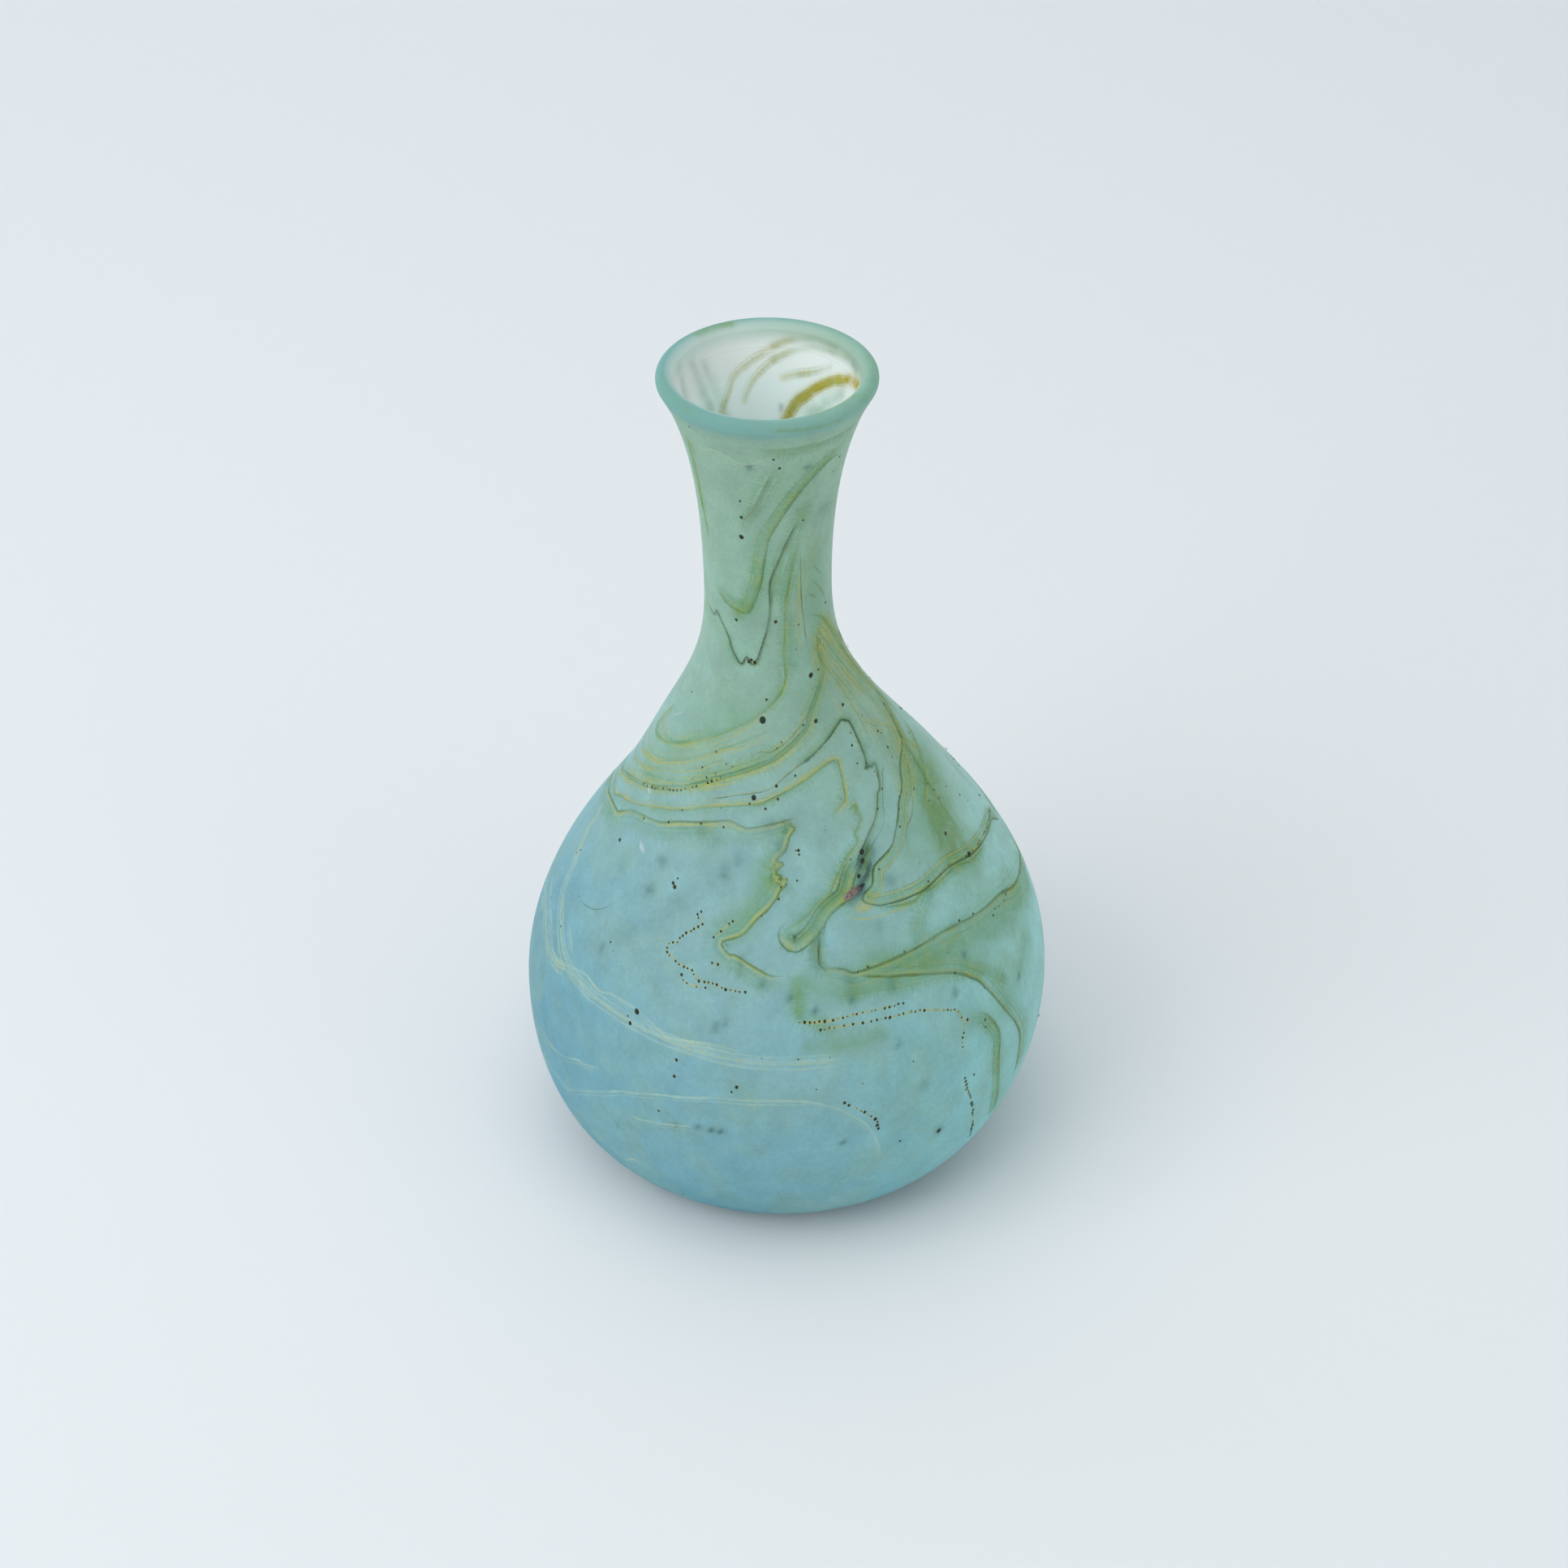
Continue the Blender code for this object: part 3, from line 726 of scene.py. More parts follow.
# The trails that the CAD model lets into the wall as solids: node, then (bundle, route) pairs.
INLAID_TRAILS = {
    "neck_loop_trail": (
        ("loop_line", (
            (-70, 2.975), (-56.5, 2.945), (-51.5, 2.97), (-37, 2.885), (-33.5, 2.835), (-24, 2.77),
            (-19.5, 2.815), (-16.5, 2.795), (-11, 2.79), (1, 2.99), (2.5, 3.115), (4.5, 3.16),
            (18.5, 3.325), (22.5, 3.365), (26.5, 3.38),
        )),
        ("straw_line", ((-69, 3.02), (-69.5, 2.955), (-56.5, 2.93))),
    ),
    "neck_slant_trail": (
        ("olive_band", (
            (57.5, 3.71), (44, 3.71), (32, 3.63), (22.5, 3.55), (3, 3.35), (-0.5, 3.3), (-5.5, 3.15),
            (-9, 3.095), (-13, 3.05), (-20.5, 3.01), (-41.5, 3.035), (-51.5, 3.075),
        )),
        ("smear", ((7.5, 3.74), (-7.5, 3.475), (-16.5, 3.4), (-19, 3.335))),
    ),
    "long_sweep_trail": (
        ("sweep", (
            (54.5, 2.89), (49, 2.86), (46.5, 2.705), (41.5, 2.65), (27, 2.54), (23.5, 2.495),
            (18.5, 2.465), (1.5, 2.385), (-6, 2.36), (-27.5, 2.29), (-47.5, 2.205), (-71.5, 2.12),
            (-81, 2.09), (-89.5, 2.055), (-107.5, 1.99), (-126, 1.99), (-150, 2.06), (-176, 2.18),
            (-205, 2.3), (-232, 2.38),
        )),
        ("rust_hair", ((30, 2.57), (16, 2.485), (9, 2.445), (-1.5, 2.405), (-7, 2.405), (-13.5, 2.38))),
    ),
    "lower_sweep_trail": (
        ("straw_sweep", (
            (-126, 1.83), (-112, 1.88), (-99, 1.94), (-86, 2.015), (-77.5, 2.045), (-58.5, 2.11),
            (-44.5, 2.155), (-28.5, 2.205), (-8, 2.24), (-4.5, 2.25), (17.5, 2.32), (28, 2.345),
            (32.5, 2.345), (35, 2.33), (31, 2.22), (28, 2.205), (20.5, 2.175),
        )),
        ("hair", ((18, 2.155), (16, 2.15))),
    ),
    "feathered_trail": (
        ("feather", (
            (-114, 1.78), (-100, 1.85), (-95.5, 1.87), (-87, 1.94), (-71, 2.04), (-53, 2.085),
            (-43, 2.12), (-25, 2.165), (-21, 2.17), (-14.5, 2.16), (-5, 2.175), (6.5, 2.195),
        )),
        ("feather", (
            (4, 2.19), (4.5, 2.18), (2.5, 2.175), (5, 2.17), (5, 2.165), (2.5, 2.145), (0, 2.11),
            (-4, 2.085), (-1, 2.08), (-2.5, 2.07), (-4.5, 2.055), (-2.5, 2.05), (-3.5, 2.04),
            (0, 2.045), (-1.5, 2.035), (-0.5, 2.03), (-3.5, 2.01), (-6.5, 1.915), (-8.5, 1.87),
            (-10, 1.84), (-13.5, 1.755), (-18.5, 1.71), (-19, 1.69), (-16.5, 1.655), (-14.5, 1.655),
            (-9, 1.615), (-5, 1.59), (-1.5, 1.59),
        )),
        ("straw_line", ((-35, 2.135), (-18.5, 2.16))),
    ),
    "peaked_trail": (
        ("dark_line", (
            (10.5, 2.345), (23.5, 2.385), (43.5, 2.455), (47.5, 2.46), (51, 2.445), (52, 2.425),
            (50, 2.305), (46.5, 2.27), (49.5, 2.275), (50, 2.265), (53.5, 2.27), (49, 2.21),
            (45.5, 2.195), (40, 2.15), (32.5, 2.11), (24, 2.06),
        )),
        ("hair", ((59.5, 2.27), (46.5, 2.175), (44, 2.145), (41, 2.12), (36, 2.1), (27.5, 2.065))),
        ("dark_core", ((34, 2.105), (31, 2.09), (28, 2.07), (25.5, 2.05), (22.5, 2.03))),
        ("stone_tail", ((23, 2.006), (25.5, 2.018), (28, 2.035), (30.5, 2.06))),
        ("olive_wide", (
            (25, 2.06), (20, 2.035), (11, 1.905), (6.5, 1.795), (1.5, 1.725), (0.5, 1.73), (-1, 1.76),
            (-1, 1.78), (1, 1.805),
        )),
    ),
    "hooked_trail": (
        ("hook", (
            (94.5, 2.38), (92.5, 2.32), (81.5, 2.24), (68, 2.21), (59.5, 2.165), (53, 2.14),
            (48.5, 2.11), (42.5, 2.075), (39.5, 2.06), (31.5, 2.04), (30, 2.03), (29, 2.015),
            (23.5, 1.925), (26.5, 1.875), (30, 1.855), (43, 1.835), (56.5, 1.85), (68.5, 1.79),
            (75.5, 1.76), (79.5, 1.745), (91.5, 1.695), (96, 1.645), (100, 1.58),
        )),
    ),
    "ridge_trail": (
        ("ridge", (
            (104, 1.4), (92, 1.43), (78.5, 1.48), (70.5, 1.535), (59, 1.57), (45, 1.605), (35, 1.6),
            (26.5, 1.59), (18.5, 1.58), (16, 1.58), (13.5, 1.6), (8.5, 1.615),
        )),
        ("dark_line", ((8.5, 1.79), (7.5, 1.65), (8.5, 1.615), (10.5, 1.59))),
        ("haze", ((9, 1.8), (6.5, 1.7), (7, 1.62), (13, 1.59))),
        ("hair", ((11, 1.83), (9, 1.745))),
    ),
    "branch_trail": (
        ("ridge", (
            (17.5, 1.57), (26, 1.535), (32.5, 1.51), (43, 1.45), (48.5, 1.385), (50.5, 1.35),
            (55, 1.225), (60, 1.09), (61.5, 1.015), (61.5, 0.845),
        )),
        ("olive_band", (
            (46.5, 1.265), (49.5, 1.225), (52.5, 1.135), (52, 1.025), (53.5, 0.88), (56.5, 0.7),
        )),
    ),
    "left_drape_trail": (
        ("opal_drape", (
            (-92, 1.86), (-89, 1.755), (-88.5, 1.695), (-82.5, 1.585), (-78, 1.455), (-69.5, 1.365),
            (-63.5, 1.32), (-53.5, 1.3), (-44.5, 1.3), (-35.5, 1.295), (-22, 1.285), (-8, 1.275),
            (12, 1.28),
        )),
    ),
}

# The finer threads between the inlaid trails, gathered by where they lie.
FINE_THREADS = {
    "neck_threads": (
        ("olive_line", (
            (27.5, 3.3), (23, 3.2), (17.5, 3.075), (16, 3.005), (13, 2.825), (12.5, 2.71), (4, 2.62),
            (-14.5, 2.52), (-23, 2.485), (-40, 2.405), (-57.5, 2.33), (-68.5, 2.29), (-78, 2.265),
            (-83.5, 2.255), (-88.5, 2.275), (-80, 2.41),
        )),
        ("hair", ((30, 3.26), (30, 3.18), (32, 3.03), (35.5, 2.82))),
        ("rust_hair", ((41.5, 3.175), (54, 3.11), (58, 3.11))),
        ("rust_hair", ((40, 3.115), (56, 3.045), (63.5, 2.98))),
        ("rust_hair", ((37, 3.065), (50, 3.025))),
        ("olive_line", (
            (41.5, 2.97), (57, 2.925), (77.5, 2.78), (95, 2.48), (100, 2.335), (93.5, 2.3),
            (80.5, 2.235),
        )),
        ("stream", ((56, 2.935), (76, 2.76), (92, 2.54), (100, 2.38), (101, 2.24))),
        ("stream", ((44, 2.93), (60, 2.79), (76, 2.6), (84, 2.42), (84, 2.3), (78, 2.22))),
        ("stream", ((45, 2.84), (56, 2.68), (66, 2.52), (70, 2.4), (68, 2.28), (62, 2.18), (57, 2.12))),
        ("straw_line", ((47.5, 2.93), (77, 2.69), (98.5, 2.415), (102, 2.26))),
        ("combed", ((52, 2.97), (68, 2.85), (86, 2.66), (99, 2.47), (107, 2.32))),
        ("combed", ((40, 2.87), (50, 2.72), (58, 2.57), (61, 2.44), (58, 2.32))),
        ("combed", ((66, 2.66), (76, 2.5), (82, 2.38), (80, 2.28), (72, 2.22))),
        ("combed", ((60, 2.42), (68, 2.36), (77, 2.31), (84, 2.22), (86, 2.14))),
        ("straw_line", ((36, 2.83), (42, 2.66), (48, 2.54), (50, 2.43))),
        ("straw_line", ((70, 2.3), (74, 2.24), (72, 2.17), (66, 2.13))),
        ("haze", ((24, 3.25), (20, 3.05), (19, 2.85), (14, 2.7))),
        ("haze", ((36, 3.5), (24, 3.36), (12, 3.2), (6, 3.04))),
        ("straw_line", ((46, 3.35), (36, 3.25), (29, 3.1), (27, 2.95), (29, 2.82))),
        ("straw_line", ((52, 3.3), (42, 3.2), (34, 3.08), (32, 2.96), (35, 2.86))),
        ("opal_line", ((-52, 3.72), (-34, 3.82), (-14, 3.76), (6, 3.84))),
        ("olive_line", ((-58, 3.82), (-62, 3.6), (-63, 3.4), (-58, 3.24))),
        ("haze", ((66, 3.86), (40, 3.9), (14, 3.86), (-8, 3.9))),
    ),
    "shoulder_threads": (
        ("straw_line", ((0.5, 2.565), (-12.5, 2.505), (-33, 2.41), (-40.5, 2.375), (-58, 2.315))),
        ("straw_pair", (
            (-14, 2.42), (-30, 2.39), (-37.5, 2.345), (-66.5, 2.225), (-75.5, 2.195), (-87, 2.16),
            (-97, 2.16), (-116, 2.2), (-140, 2.3),
        )),
        ("straw_line", (
            (-43, 2.31), (-52.5, 2.27), (-64.5, 2.225), (-73.5, 2.2), (-84, 2.17), (-95.5, 2.135),
        )),
        ("straw_pair", (
            (-20.5, 2.355), (-32, 2.335), (-41, 2.29), (-65.5, 2.2), (-73, 2.17), (-81, 2.14),
            (-89.5, 2.11), (-98, 2.09), (-120, 2.11), (-148, 2.2),
        )),
        ("combed", (
            (2, 2.5), (-16, 2.44), (-34, 2.37), (-52, 2.29), (-70, 2.225), (-88, 2.2), (-104, 2.22),
        )),
        ("combed", ((-18, 2.3), (-34, 2.26), (-50, 2.22), (-66, 2.17), (-82, 2.12), (-96, 2.1))),
        ("combed", ((-36, 2.44), (-50, 2.37), (-64, 2.31), (-78, 2.3), (-92, 2.34))),
        ("haze", ((10, 2.44), (-12, 2.36), (-34, 2.28), (-56, 2.2), (-78, 2.13))),
        ("straw_line", ((-107.5, 1.97), (-92, 2.04), (-83.5, 2.07), (-66, 2.13))),
        ("straw_line", ((-102, 2.025), (-89.5, 2.07), (-78.5, 2.105), (-64.5, 2.15))),
        ("rust_hair", (
            (21, 2.38), (8.5, 2.335), (-3.5, 2.28), (-12.5, 2.26), (-20.5, 2.245), (-35.5, 2.205),
        )),
    ),
    "belly_threads": (
        ("olive_line", (
            (26.5, 2.195), (30, 2.19), (34.5, 2.195), (31.5, 2.175), (33.5, 2.165), (31, 2.14),
            (28, 2.125), (28, 2.105), (20, 2.065), (9.5, 1.97), (6.5, 1.895), (3, 1.84), (-2, 1.785),
        )),
        ("olive_line", (
            (27, 1.84), (38.5, 1.8), (43, 1.82), (47.5, 1.81), (59, 1.815), (67, 1.76), (78, 1.725),
        )),
        ("straw_line", ((17, 1.875), (18, 1.835), (20.5, 1.81), (24, 1.8), (39, 1.79))),
        ("yellow_wedge", ((19.5, 1.87), (27.5, 1.895))),
        ("olive_line", ((99.5, 2.24), (94.5, 2.2), (80.5, 2.15), (75.5, 2.13), (61.5, 2.09))),
        ("rust_hair", ((103.5, 2.155), (101, 2.085))),
        ("straw_line", ((92.5, 2.205), (80.5, 2.18))),
        ("rust_hair", ((64.5, 2.145), (54, 2.095), (50, 2.085), (47, 2.065))),
        ("wide_haze", ((86, 2.24), (74, 2.12), (66, 2.02), (66, 1.88))),
        ("haze", ((80, 2.34), (72, 2.22), (64, 2.1), (60, 1.98))),
        ("olive_line", ((88, 2.3), (78, 2.18), (72, 2.06), (71, 1.92))),
        ("combed", ((90, 2.36), (80, 2.28), (72, 2.2), (64, 2.15), (56, 2.12))),
        ("haze", ((4, 1.62), (3, 1.54), (3, 1.44), (12, 1.38))),
        ("haze", ((9, 1.52), (24, 1.5), (40, 1.46), (52, 1.38), (60, 1.26))),
        ("wide_haze", ((96, 1.42), (80, 1.5), (64, 1.56), (46, 1.59), (30, 1.57))),
        ("haze", ((100, 1.66), (84, 1.72), (70, 1.77), (56, 1.82), (40, 1.81))),
        ("haze", ((34, 1.6), (40, 1.72), (47, 1.8))),
        ("hair", ((-69.5, 1.53), (-66, 1.535), (-61.5, 1.56), (-58.5, 1.595), (-55.5, 1.65))),
    ),
    "low_threads": (
        ("opal_drape", (
            (-104, 1.42), (-96, 1.33), (-92, 1.305), (-85, 1.315), (-80, 1.305), (-70.5, 1.265),
            (-61.5, 1.29),
        )),
        ("opal_line", (
            (-92.5, 1.39), (-83, 1.365), (-75, 1.33), (-67.5, 1.28), (-56, 1.34), (-49, 1.33),
            (-44, 1.35), (-35.5, 1.34), (-29, 1.3), (-26.5, 1.3), (-17, 1.315), (-10.5, 1.305),
        )),
        ("opal_line", ((-69.5, 1.44), (-60.5, 1.35))),
        ("opal_line", ((-87.5, 1.485), (-85.5, 1.455))),
        ("opal_line", (
            (-66.5, 1), (-65.5, 0.97), (-60, 0.98), (-56.5, 0.995), (-51, 1.04), (-49, 1.04),
            (-44, 1.07),
        )),
        ("opal_line", (
            (-78, 0.8), (-61, 0.84), (-56, 0.845), (-50.5, 0.905), (-39.5, 1.015), (-35, 1.045),
            (-28.5, 1.08), (-23, 1.1), (-14, 1.13), (2, 1.14), (9, 1.11), (12, 1.085), (17, 1.015),
            (19.5, 0.93), (21, 0.835),
        )),
        ("opal_line", ((-36.5, 0.94), (-30.5, 0.955), (-19.5, 1))),
        ("opal_line", ((-42, 0.575), (-36, 0.68), (-34, 0.68))),
        ("opal_line", ((-142, 1.12), (-128, 1.2), (-112, 1.16), (-98, 1.08), (-84, 1.04))),
        ("opal_line", ((-136, 0.86), (-120, 0.9), (-104, 0.84), (-90, 0.82))),
        ("haze", ((-150, 1.62), (-134, 1.66), (-118, 1.6))),
        ("hair", ((-128, 1.72), (-120, 1.66), (-112, 1.68), (-106, 1.62))),
    ),
    "back_threads": (
        ("sweep", (
            (82, 2.78), (104, 2.66), (124, 2.5), (142, 2.36), (160, 2.27), (178, 2.22), (196, 2.14),
            (212, 2.02),
        )),
        ("straw_pair", ((100, 2.56), (120, 2.4), (140, 2.27), (160, 2.19), (180, 2.13), (200, 2.04))),
        ("feather", (
            (100, 1.58), (108, 1.66), (118, 1.72), (131, 1.83), (139, 1.94), (147, 1.9), (143, 1.8),
            (151, 1.74), (147, 1.66), (156, 1.6), (168, 1.57),
        )),
        ("ridge", (
            (95, 1.42), (106, 1.395), (118, 1.36), (132, 1.38), (148, 1.45), (163, 1.54), (176, 1.6),
            (190, 1.58), (203, 1.49), (214, 1.42), (228, 1.4),
        )),
        ("olive_band", ((163, 1.54), (166, 1.42), (172, 1.3), (181, 1.22), (190, 1.1), (193, 0.94))),
        ("dark_line", (
            (176, 2.02), (184, 1.92), (188, 1.84), (183, 1.78), (190, 1.7), (203, 1.66), (216, 1.68),
        )),
        ("opal_drape", ((228, 1.4), (240, 1.36), (252, 1.37), (256, 1.42))),
        ("opal_line", (
            (100, 1.16), (116, 1.12), (134, 1.14), (152, 1.1), (170, 1.02), (188, 0.96), (206, 1.0),
            (226, 1.06),
        )),
        ("opal_line", ((120, 0.9), (138, 0.88), (156, 0.84), (176, 0.8), (196, 0.84))),
        ("olive_line", (
            (-140, 3.62), (-152, 3.4), (-160, 3.16), (-158, 2.96), (-146, 2.82), (-130, 2.72),
            (-112, 2.6),
        )),
        ("loop_line", (
            (178, 3.5), (170, 3.3), (164, 3.1), (156, 2.94), (148, 2.99), (141, 3.14), (132, 3.3),
        )),
        ("straw_pair", (
            (-118, 3.0), (-128, 2.86), (-136, 2.7), (-150, 2.56), (-170, 2.48), (-190, 2.42),
        )),
        ("olive_band", ((118, 3.75), (128, 3.58), (139, 3.42), (150, 3.34))),
        ("stream", ((112, 2.62), (128, 2.44), (140, 2.3), (146, 2.18), (140, 2.08))),
        ("combed", ((120, 2.62), (140, 2.46), (160, 2.36), (180, 2.3), (200, 2.22), (216, 2.12))),
        ("combed", ((150, 2.5), (172, 2.4), (192, 2.34), (212, 2.26), (232, 2.2), (250, 2.16))),
        ("haze", ((118, 2.3), (140, 2.18), (164, 2.1), (190, 2.02))),
        ("wide_haze", ((118, 1.5), (140, 1.52), (160, 1.6), (180, 1.66), (200, 1.6))),
        ("hook", (
            (214, 2.3), (206, 2.2), (196, 2.12), (188, 2.05), (180, 1.97), (188, 1.91), (200, 1.87),
            (216, 1.82), (232, 1.78),
        )),
        ("straw_line", ((128, 1.98), (140, 2.02), (152, 2.1), (170, 2.14))),
        ("olive_line", ((126, 1.9), (120, 1.8), (122, 1.7), (130, 1.62), (140, 1.56))),
        ("opal_line", ((118, 1.3), (136, 1.26), (156, 1.28), (176, 1.22), (196, 1.14), (214, 1.18))),
        ("opal_drape", ((226, 1.94), (232, 1.8), (237, 1.64), (244, 1.52), (256, 1.44))),
        ("haze", ((150, 3.7), (164, 3.5), (176, 3.3), (182, 3.1))),
        ("straw_line", ((190, 3.6), (184, 3.4), (174, 3.2), (168, 3.0), (170, 2.8))),
    ),
    "satin_scuffs": (
        ("scuff", ((-68, 2.14), (-66, 2.13), (-64, 2.12))),
        ("scuff", ((-59, 2.015), (-56.5, 2.005), (-54, 1.99))),
        ("scratch", ((-76, 2.36), (-71, 2.4), (-65, 2.43))),
        ("scratch", ((10, 2.78), (12, 2.71))),
        ("scratch", ((-57, 0.73), (-52, 0.76), (-49, 0.74))),
    ),
}


# Marbling laid on the inner face of the neck.
INSIDE_THREADS = (
    ("gold_streak", ((164, 3.55), (156, 3.64), (147, 3.7), (136, 3.77), (122, 3.84), (107, 3.885))),
    ("inner_wisp", ((222, 3.62), (213, 3.7), (206, 3.78), (195, 3.83), (185, 3.87), (174, 3.89))),
    ("inner_wisp", ((199, 3.65), (194, 3.72), (186, 3.78), (176, 3.84), (164, 3.88))),
    ("inner_wisp", ((168, 3.76), (158, 3.79), (146, 3.82), (134, 3.87))),
)


def guide_mesh(name, strokes, inside):
    """Every thread of some trails as one mesh of guide lines along the wall's outer or inner face.

    A guide point carries what the sweep needs: the wall's normal, the way across, how far the
    thread is set off the route, its half width, cover and glass, and the length along it.
    """
    on_face, outward = (inner_point, -1.0) if inside else (wall_point, 1.0)
    points, edges = [], []
    fields = ("offset", "half_width", "opacity", "along", "glass", "layer", "wall_normal", "sideways")
    values = {field: [] for field in fields}
    for bundle, route in strokes:
        places = smooth_route(route)
        at, lengths = evenly(on_face(places), GUIDE_STEP)
        index = np.arange(len(places))
        places = np.stack([np.interp(at, index, places[:, k]) for k in (0, 1)], 1)
        line, normals = on_face(places), outward * wall_normal(places)
        sides = np.cross(np.gradient(line, axis=0), normals)
        sides /= np.linalg.norm(sides, axis=1)[:, None]
        from_end = np.minimum(lengths, lengths[-1] - lengths)
        taper = np.clip(from_end / min(TAPER_LENGTH, TAPER_SHARE * lengths[-1]), 0.0, 1.0)
        for glass, offset, half_width, cover in BUNDLES[bundle]:
            start = sum(map(len, points))
            points.append(line)
            edges += [(start + i, start + i + 1) for i in range(len(line) - 1)]
            number = GLASSES.index(glass)
            layer = LAYER * (number + THREAD_LAYER_SHARE * (len(points) % THREADS_STACKED))
            widths = THREAD_SPREAD * half_width * MM * (TIP_WIDTH + (1.0 - TIP_WIDTH) * taper)
            everywhere = np.ones(len(line))
            # Each thread starts at another place in the pattern of filaments.
            along = lengths + 0.37 * start * MM
            for field, value in zip(fields, (
                offset * MM * everywhere, widths, cover * taper**0.7, along,
                number * everywhere, layer * everywhere, normals, sides,
            )):
                values[field].append(value)
    mesh = bpy.data.meshes.new(name)
    mesh.from_pydata(np.vstack(points).tolist(), edges, [])
    store(mesh, {field: np.concatenate(value) for field, value in values.items()})
    return mesh


def thread_sweep():
    """Geometry Nodes tree that sweeps flat threads along guide lines and lays them on the wall."""
    tree = bpy.data.node_groups.new("thread_sweep", "GeometryNodeTree")
    face = tree.interface
    face.new_socket("Geometry", in_out="INPUT", socket_type="NodeSocketGeometry")
    face.new_socket("Wall", in_out="INPUT", socket_type="NodeSocketObject")
    for label in ("Step", "Lift", "Wander", "Wander Scale", "Seed"):
        face.new_socket(label, in_out="INPUT", socket_type="NodeSocketFloat")
    face.new_socket("Strips", in_out="INPUT", socket_type="NodeSocketInt")
    for glass in GLASSES:
        face.new_socket(glass, in_out="INPUT", socket_type="NodeSocketMaterial")
    face.new_socket("Geometry", in_out="OUTPUT", socket_type="NodeSocketGeometry")
    given = add(tree, "NodeGroupInput").outputs
    lines = add(tree, "GeometryNodeMeshToCurve", {0: given["Geometry"]})
    lines = add(
        tree, "GeometryNodeResampleCurve", {0: lines.outputs[0], "Length": given["Step"]}, mode="LENGTH"
    )
    offset, half_width, layer, glass_number, sideways, normal = (
        add(tree, "GeometryNodeInputNamedAttribute", {"Name": field}, data_type=kind).outputs[0]
        for field, kind in (
            ("offset", "FLOAT"), ("half_width", "FLOAT"), ("layer", "FLOAT"), ("glass", "FLOAT"),
            ("sideways", "FLOAT_VECTOR"), ("wall_normal", "FLOAT_VECTOR"),
        )
    )
    # Each thread strays sideways by its own slow noise, and swells where it strays furthest.
    spot = add(tree, "GeometryNodeInputPosition").outputs[0]
    own = add(tree, "ShaderNodeMath", {0: offset, 1: 900.0, 2: given["Seed"]}, operation="MULTIPLY_ADD")
    drift = add(
        tree, "ShaderNodeTexNoise",
        {"Vector": spot, "W": own.outputs[0], "Scale": given["Wander Scale"], "Detail": 2.0},
        noise_dimensions="4D",
    )
    centred = add(tree, "ShaderNodeMath", {0: drift.outputs["Fac"], 1: -0.5}, operation="ADD")
    wander = add(
        tree, "ShaderNodeMath", {0: centred.outputs[0], 1: given["Wander"], 2: offset},
        operation="MULTIPLY_ADD",
    )
    across = add(
        tree, "ShaderNodeVectorMath", {0: sideways, "Scale": wander.outputs[0]}, operation="SCALE"
    )
    moved = add(tree, "GeometryNodeSetPosition", {0: lines.outputs[0], "Offset": across.outputs[0]})
    facing = add(
        tree, "GeometryNodeSetCurveNormal", {0: moved.outputs[0], "Normal": normal}, mode="FREE"
    )
    swell = add(tree, "ShaderNodeMapRange", {0: drift.outputs["Fac"], 1: 0.3, 2: 0.7, 3: 0.65, 4: 1.3})
    width = add(tree, "ShaderNodeMath", {0: half_width, 1: swell.outputs[0]}, operation="MULTIPLY")
    # The section is a flat bar, which knows how far across the thread each of its points is.
    bar = add(
        tree, "GeometryNodeCurvePrimitiveLine", {"Start": (0.0, -1.0, 0.0), "End": (0.0, 1.0, 0.0)}
    )
    bar = add(
        tree, "GeometryNodeResampleCurve", {0: bar.outputs[0], "Count": given["Strips"]}, mode="COUNT"
    )
    factor = add(tree, "GeometryNodeSplineParameter").outputs["Factor"]
    share = add(tree, "ShaderNodeMath", {0: factor, 1: 2.0, 2: -1.0}, operation="MULTIPLY_ADD")
    bar = add(
        tree, "GeometryNodeStoreNamedAttribute",
        {0: bar.outputs[0], "Name": "across", "Value": share.outputs[0]},
        data_type="FLOAT", domain="POINT",
    )
    swept = add(
        tree, "GeometryNodeCurveToMesh",
        {0: facing.outputs[0], 1: bar.outputs[0], "Scale": width.outputs[0]},
    )
    wall = add(tree, "GeometryNodeObjectInfo", {0: given["Wall"]}, transform_space="RELATIVE")
    nearest = add(
        tree, "GeometryNodeProximity", {0: wall.outputs["Geometry"]}, target_element="FACES"
    )
    raised = add(tree, "ShaderNodeMath", {0: given["Lift"], 1: layer}, operation="ADD")
    lift = add(tree, "ShaderNodeVectorMath", {0: normal, "Scale": raised.outputs[0]}, operation="SCALE")
    laid = add(
        tree, "GeometryNodeSetPosition",
        {0: swept.outputs[0], "Position": nearest.outputs["Position"], "Offset": lift.outputs[0]},
    )
    smooth = add(tree, "GeometryNodeSetShadeSmooth", {0: laid.outputs[0]})
    last = add(tree, "GeometryNodeRealizeInstances", {0: smooth.outputs[0]})
    for number, glass in enumerate(GLASSES):
        chosen = add(
            tree, "FunctionNodeCompare", {0: glass_number, 1: float(number), "Epsilon": 0.4},
            data_type="FLOAT", operation="EQUAL",
        )
        last = add(
            tree, "GeometryNodeSetMaterial",
            {0: last.outputs[0], "Selection": chosen.outputs[0], "Material": given[glass]},
        )
    add(tree, "NodeGroupOutput", {0: last.outputs[0]})
    return tree


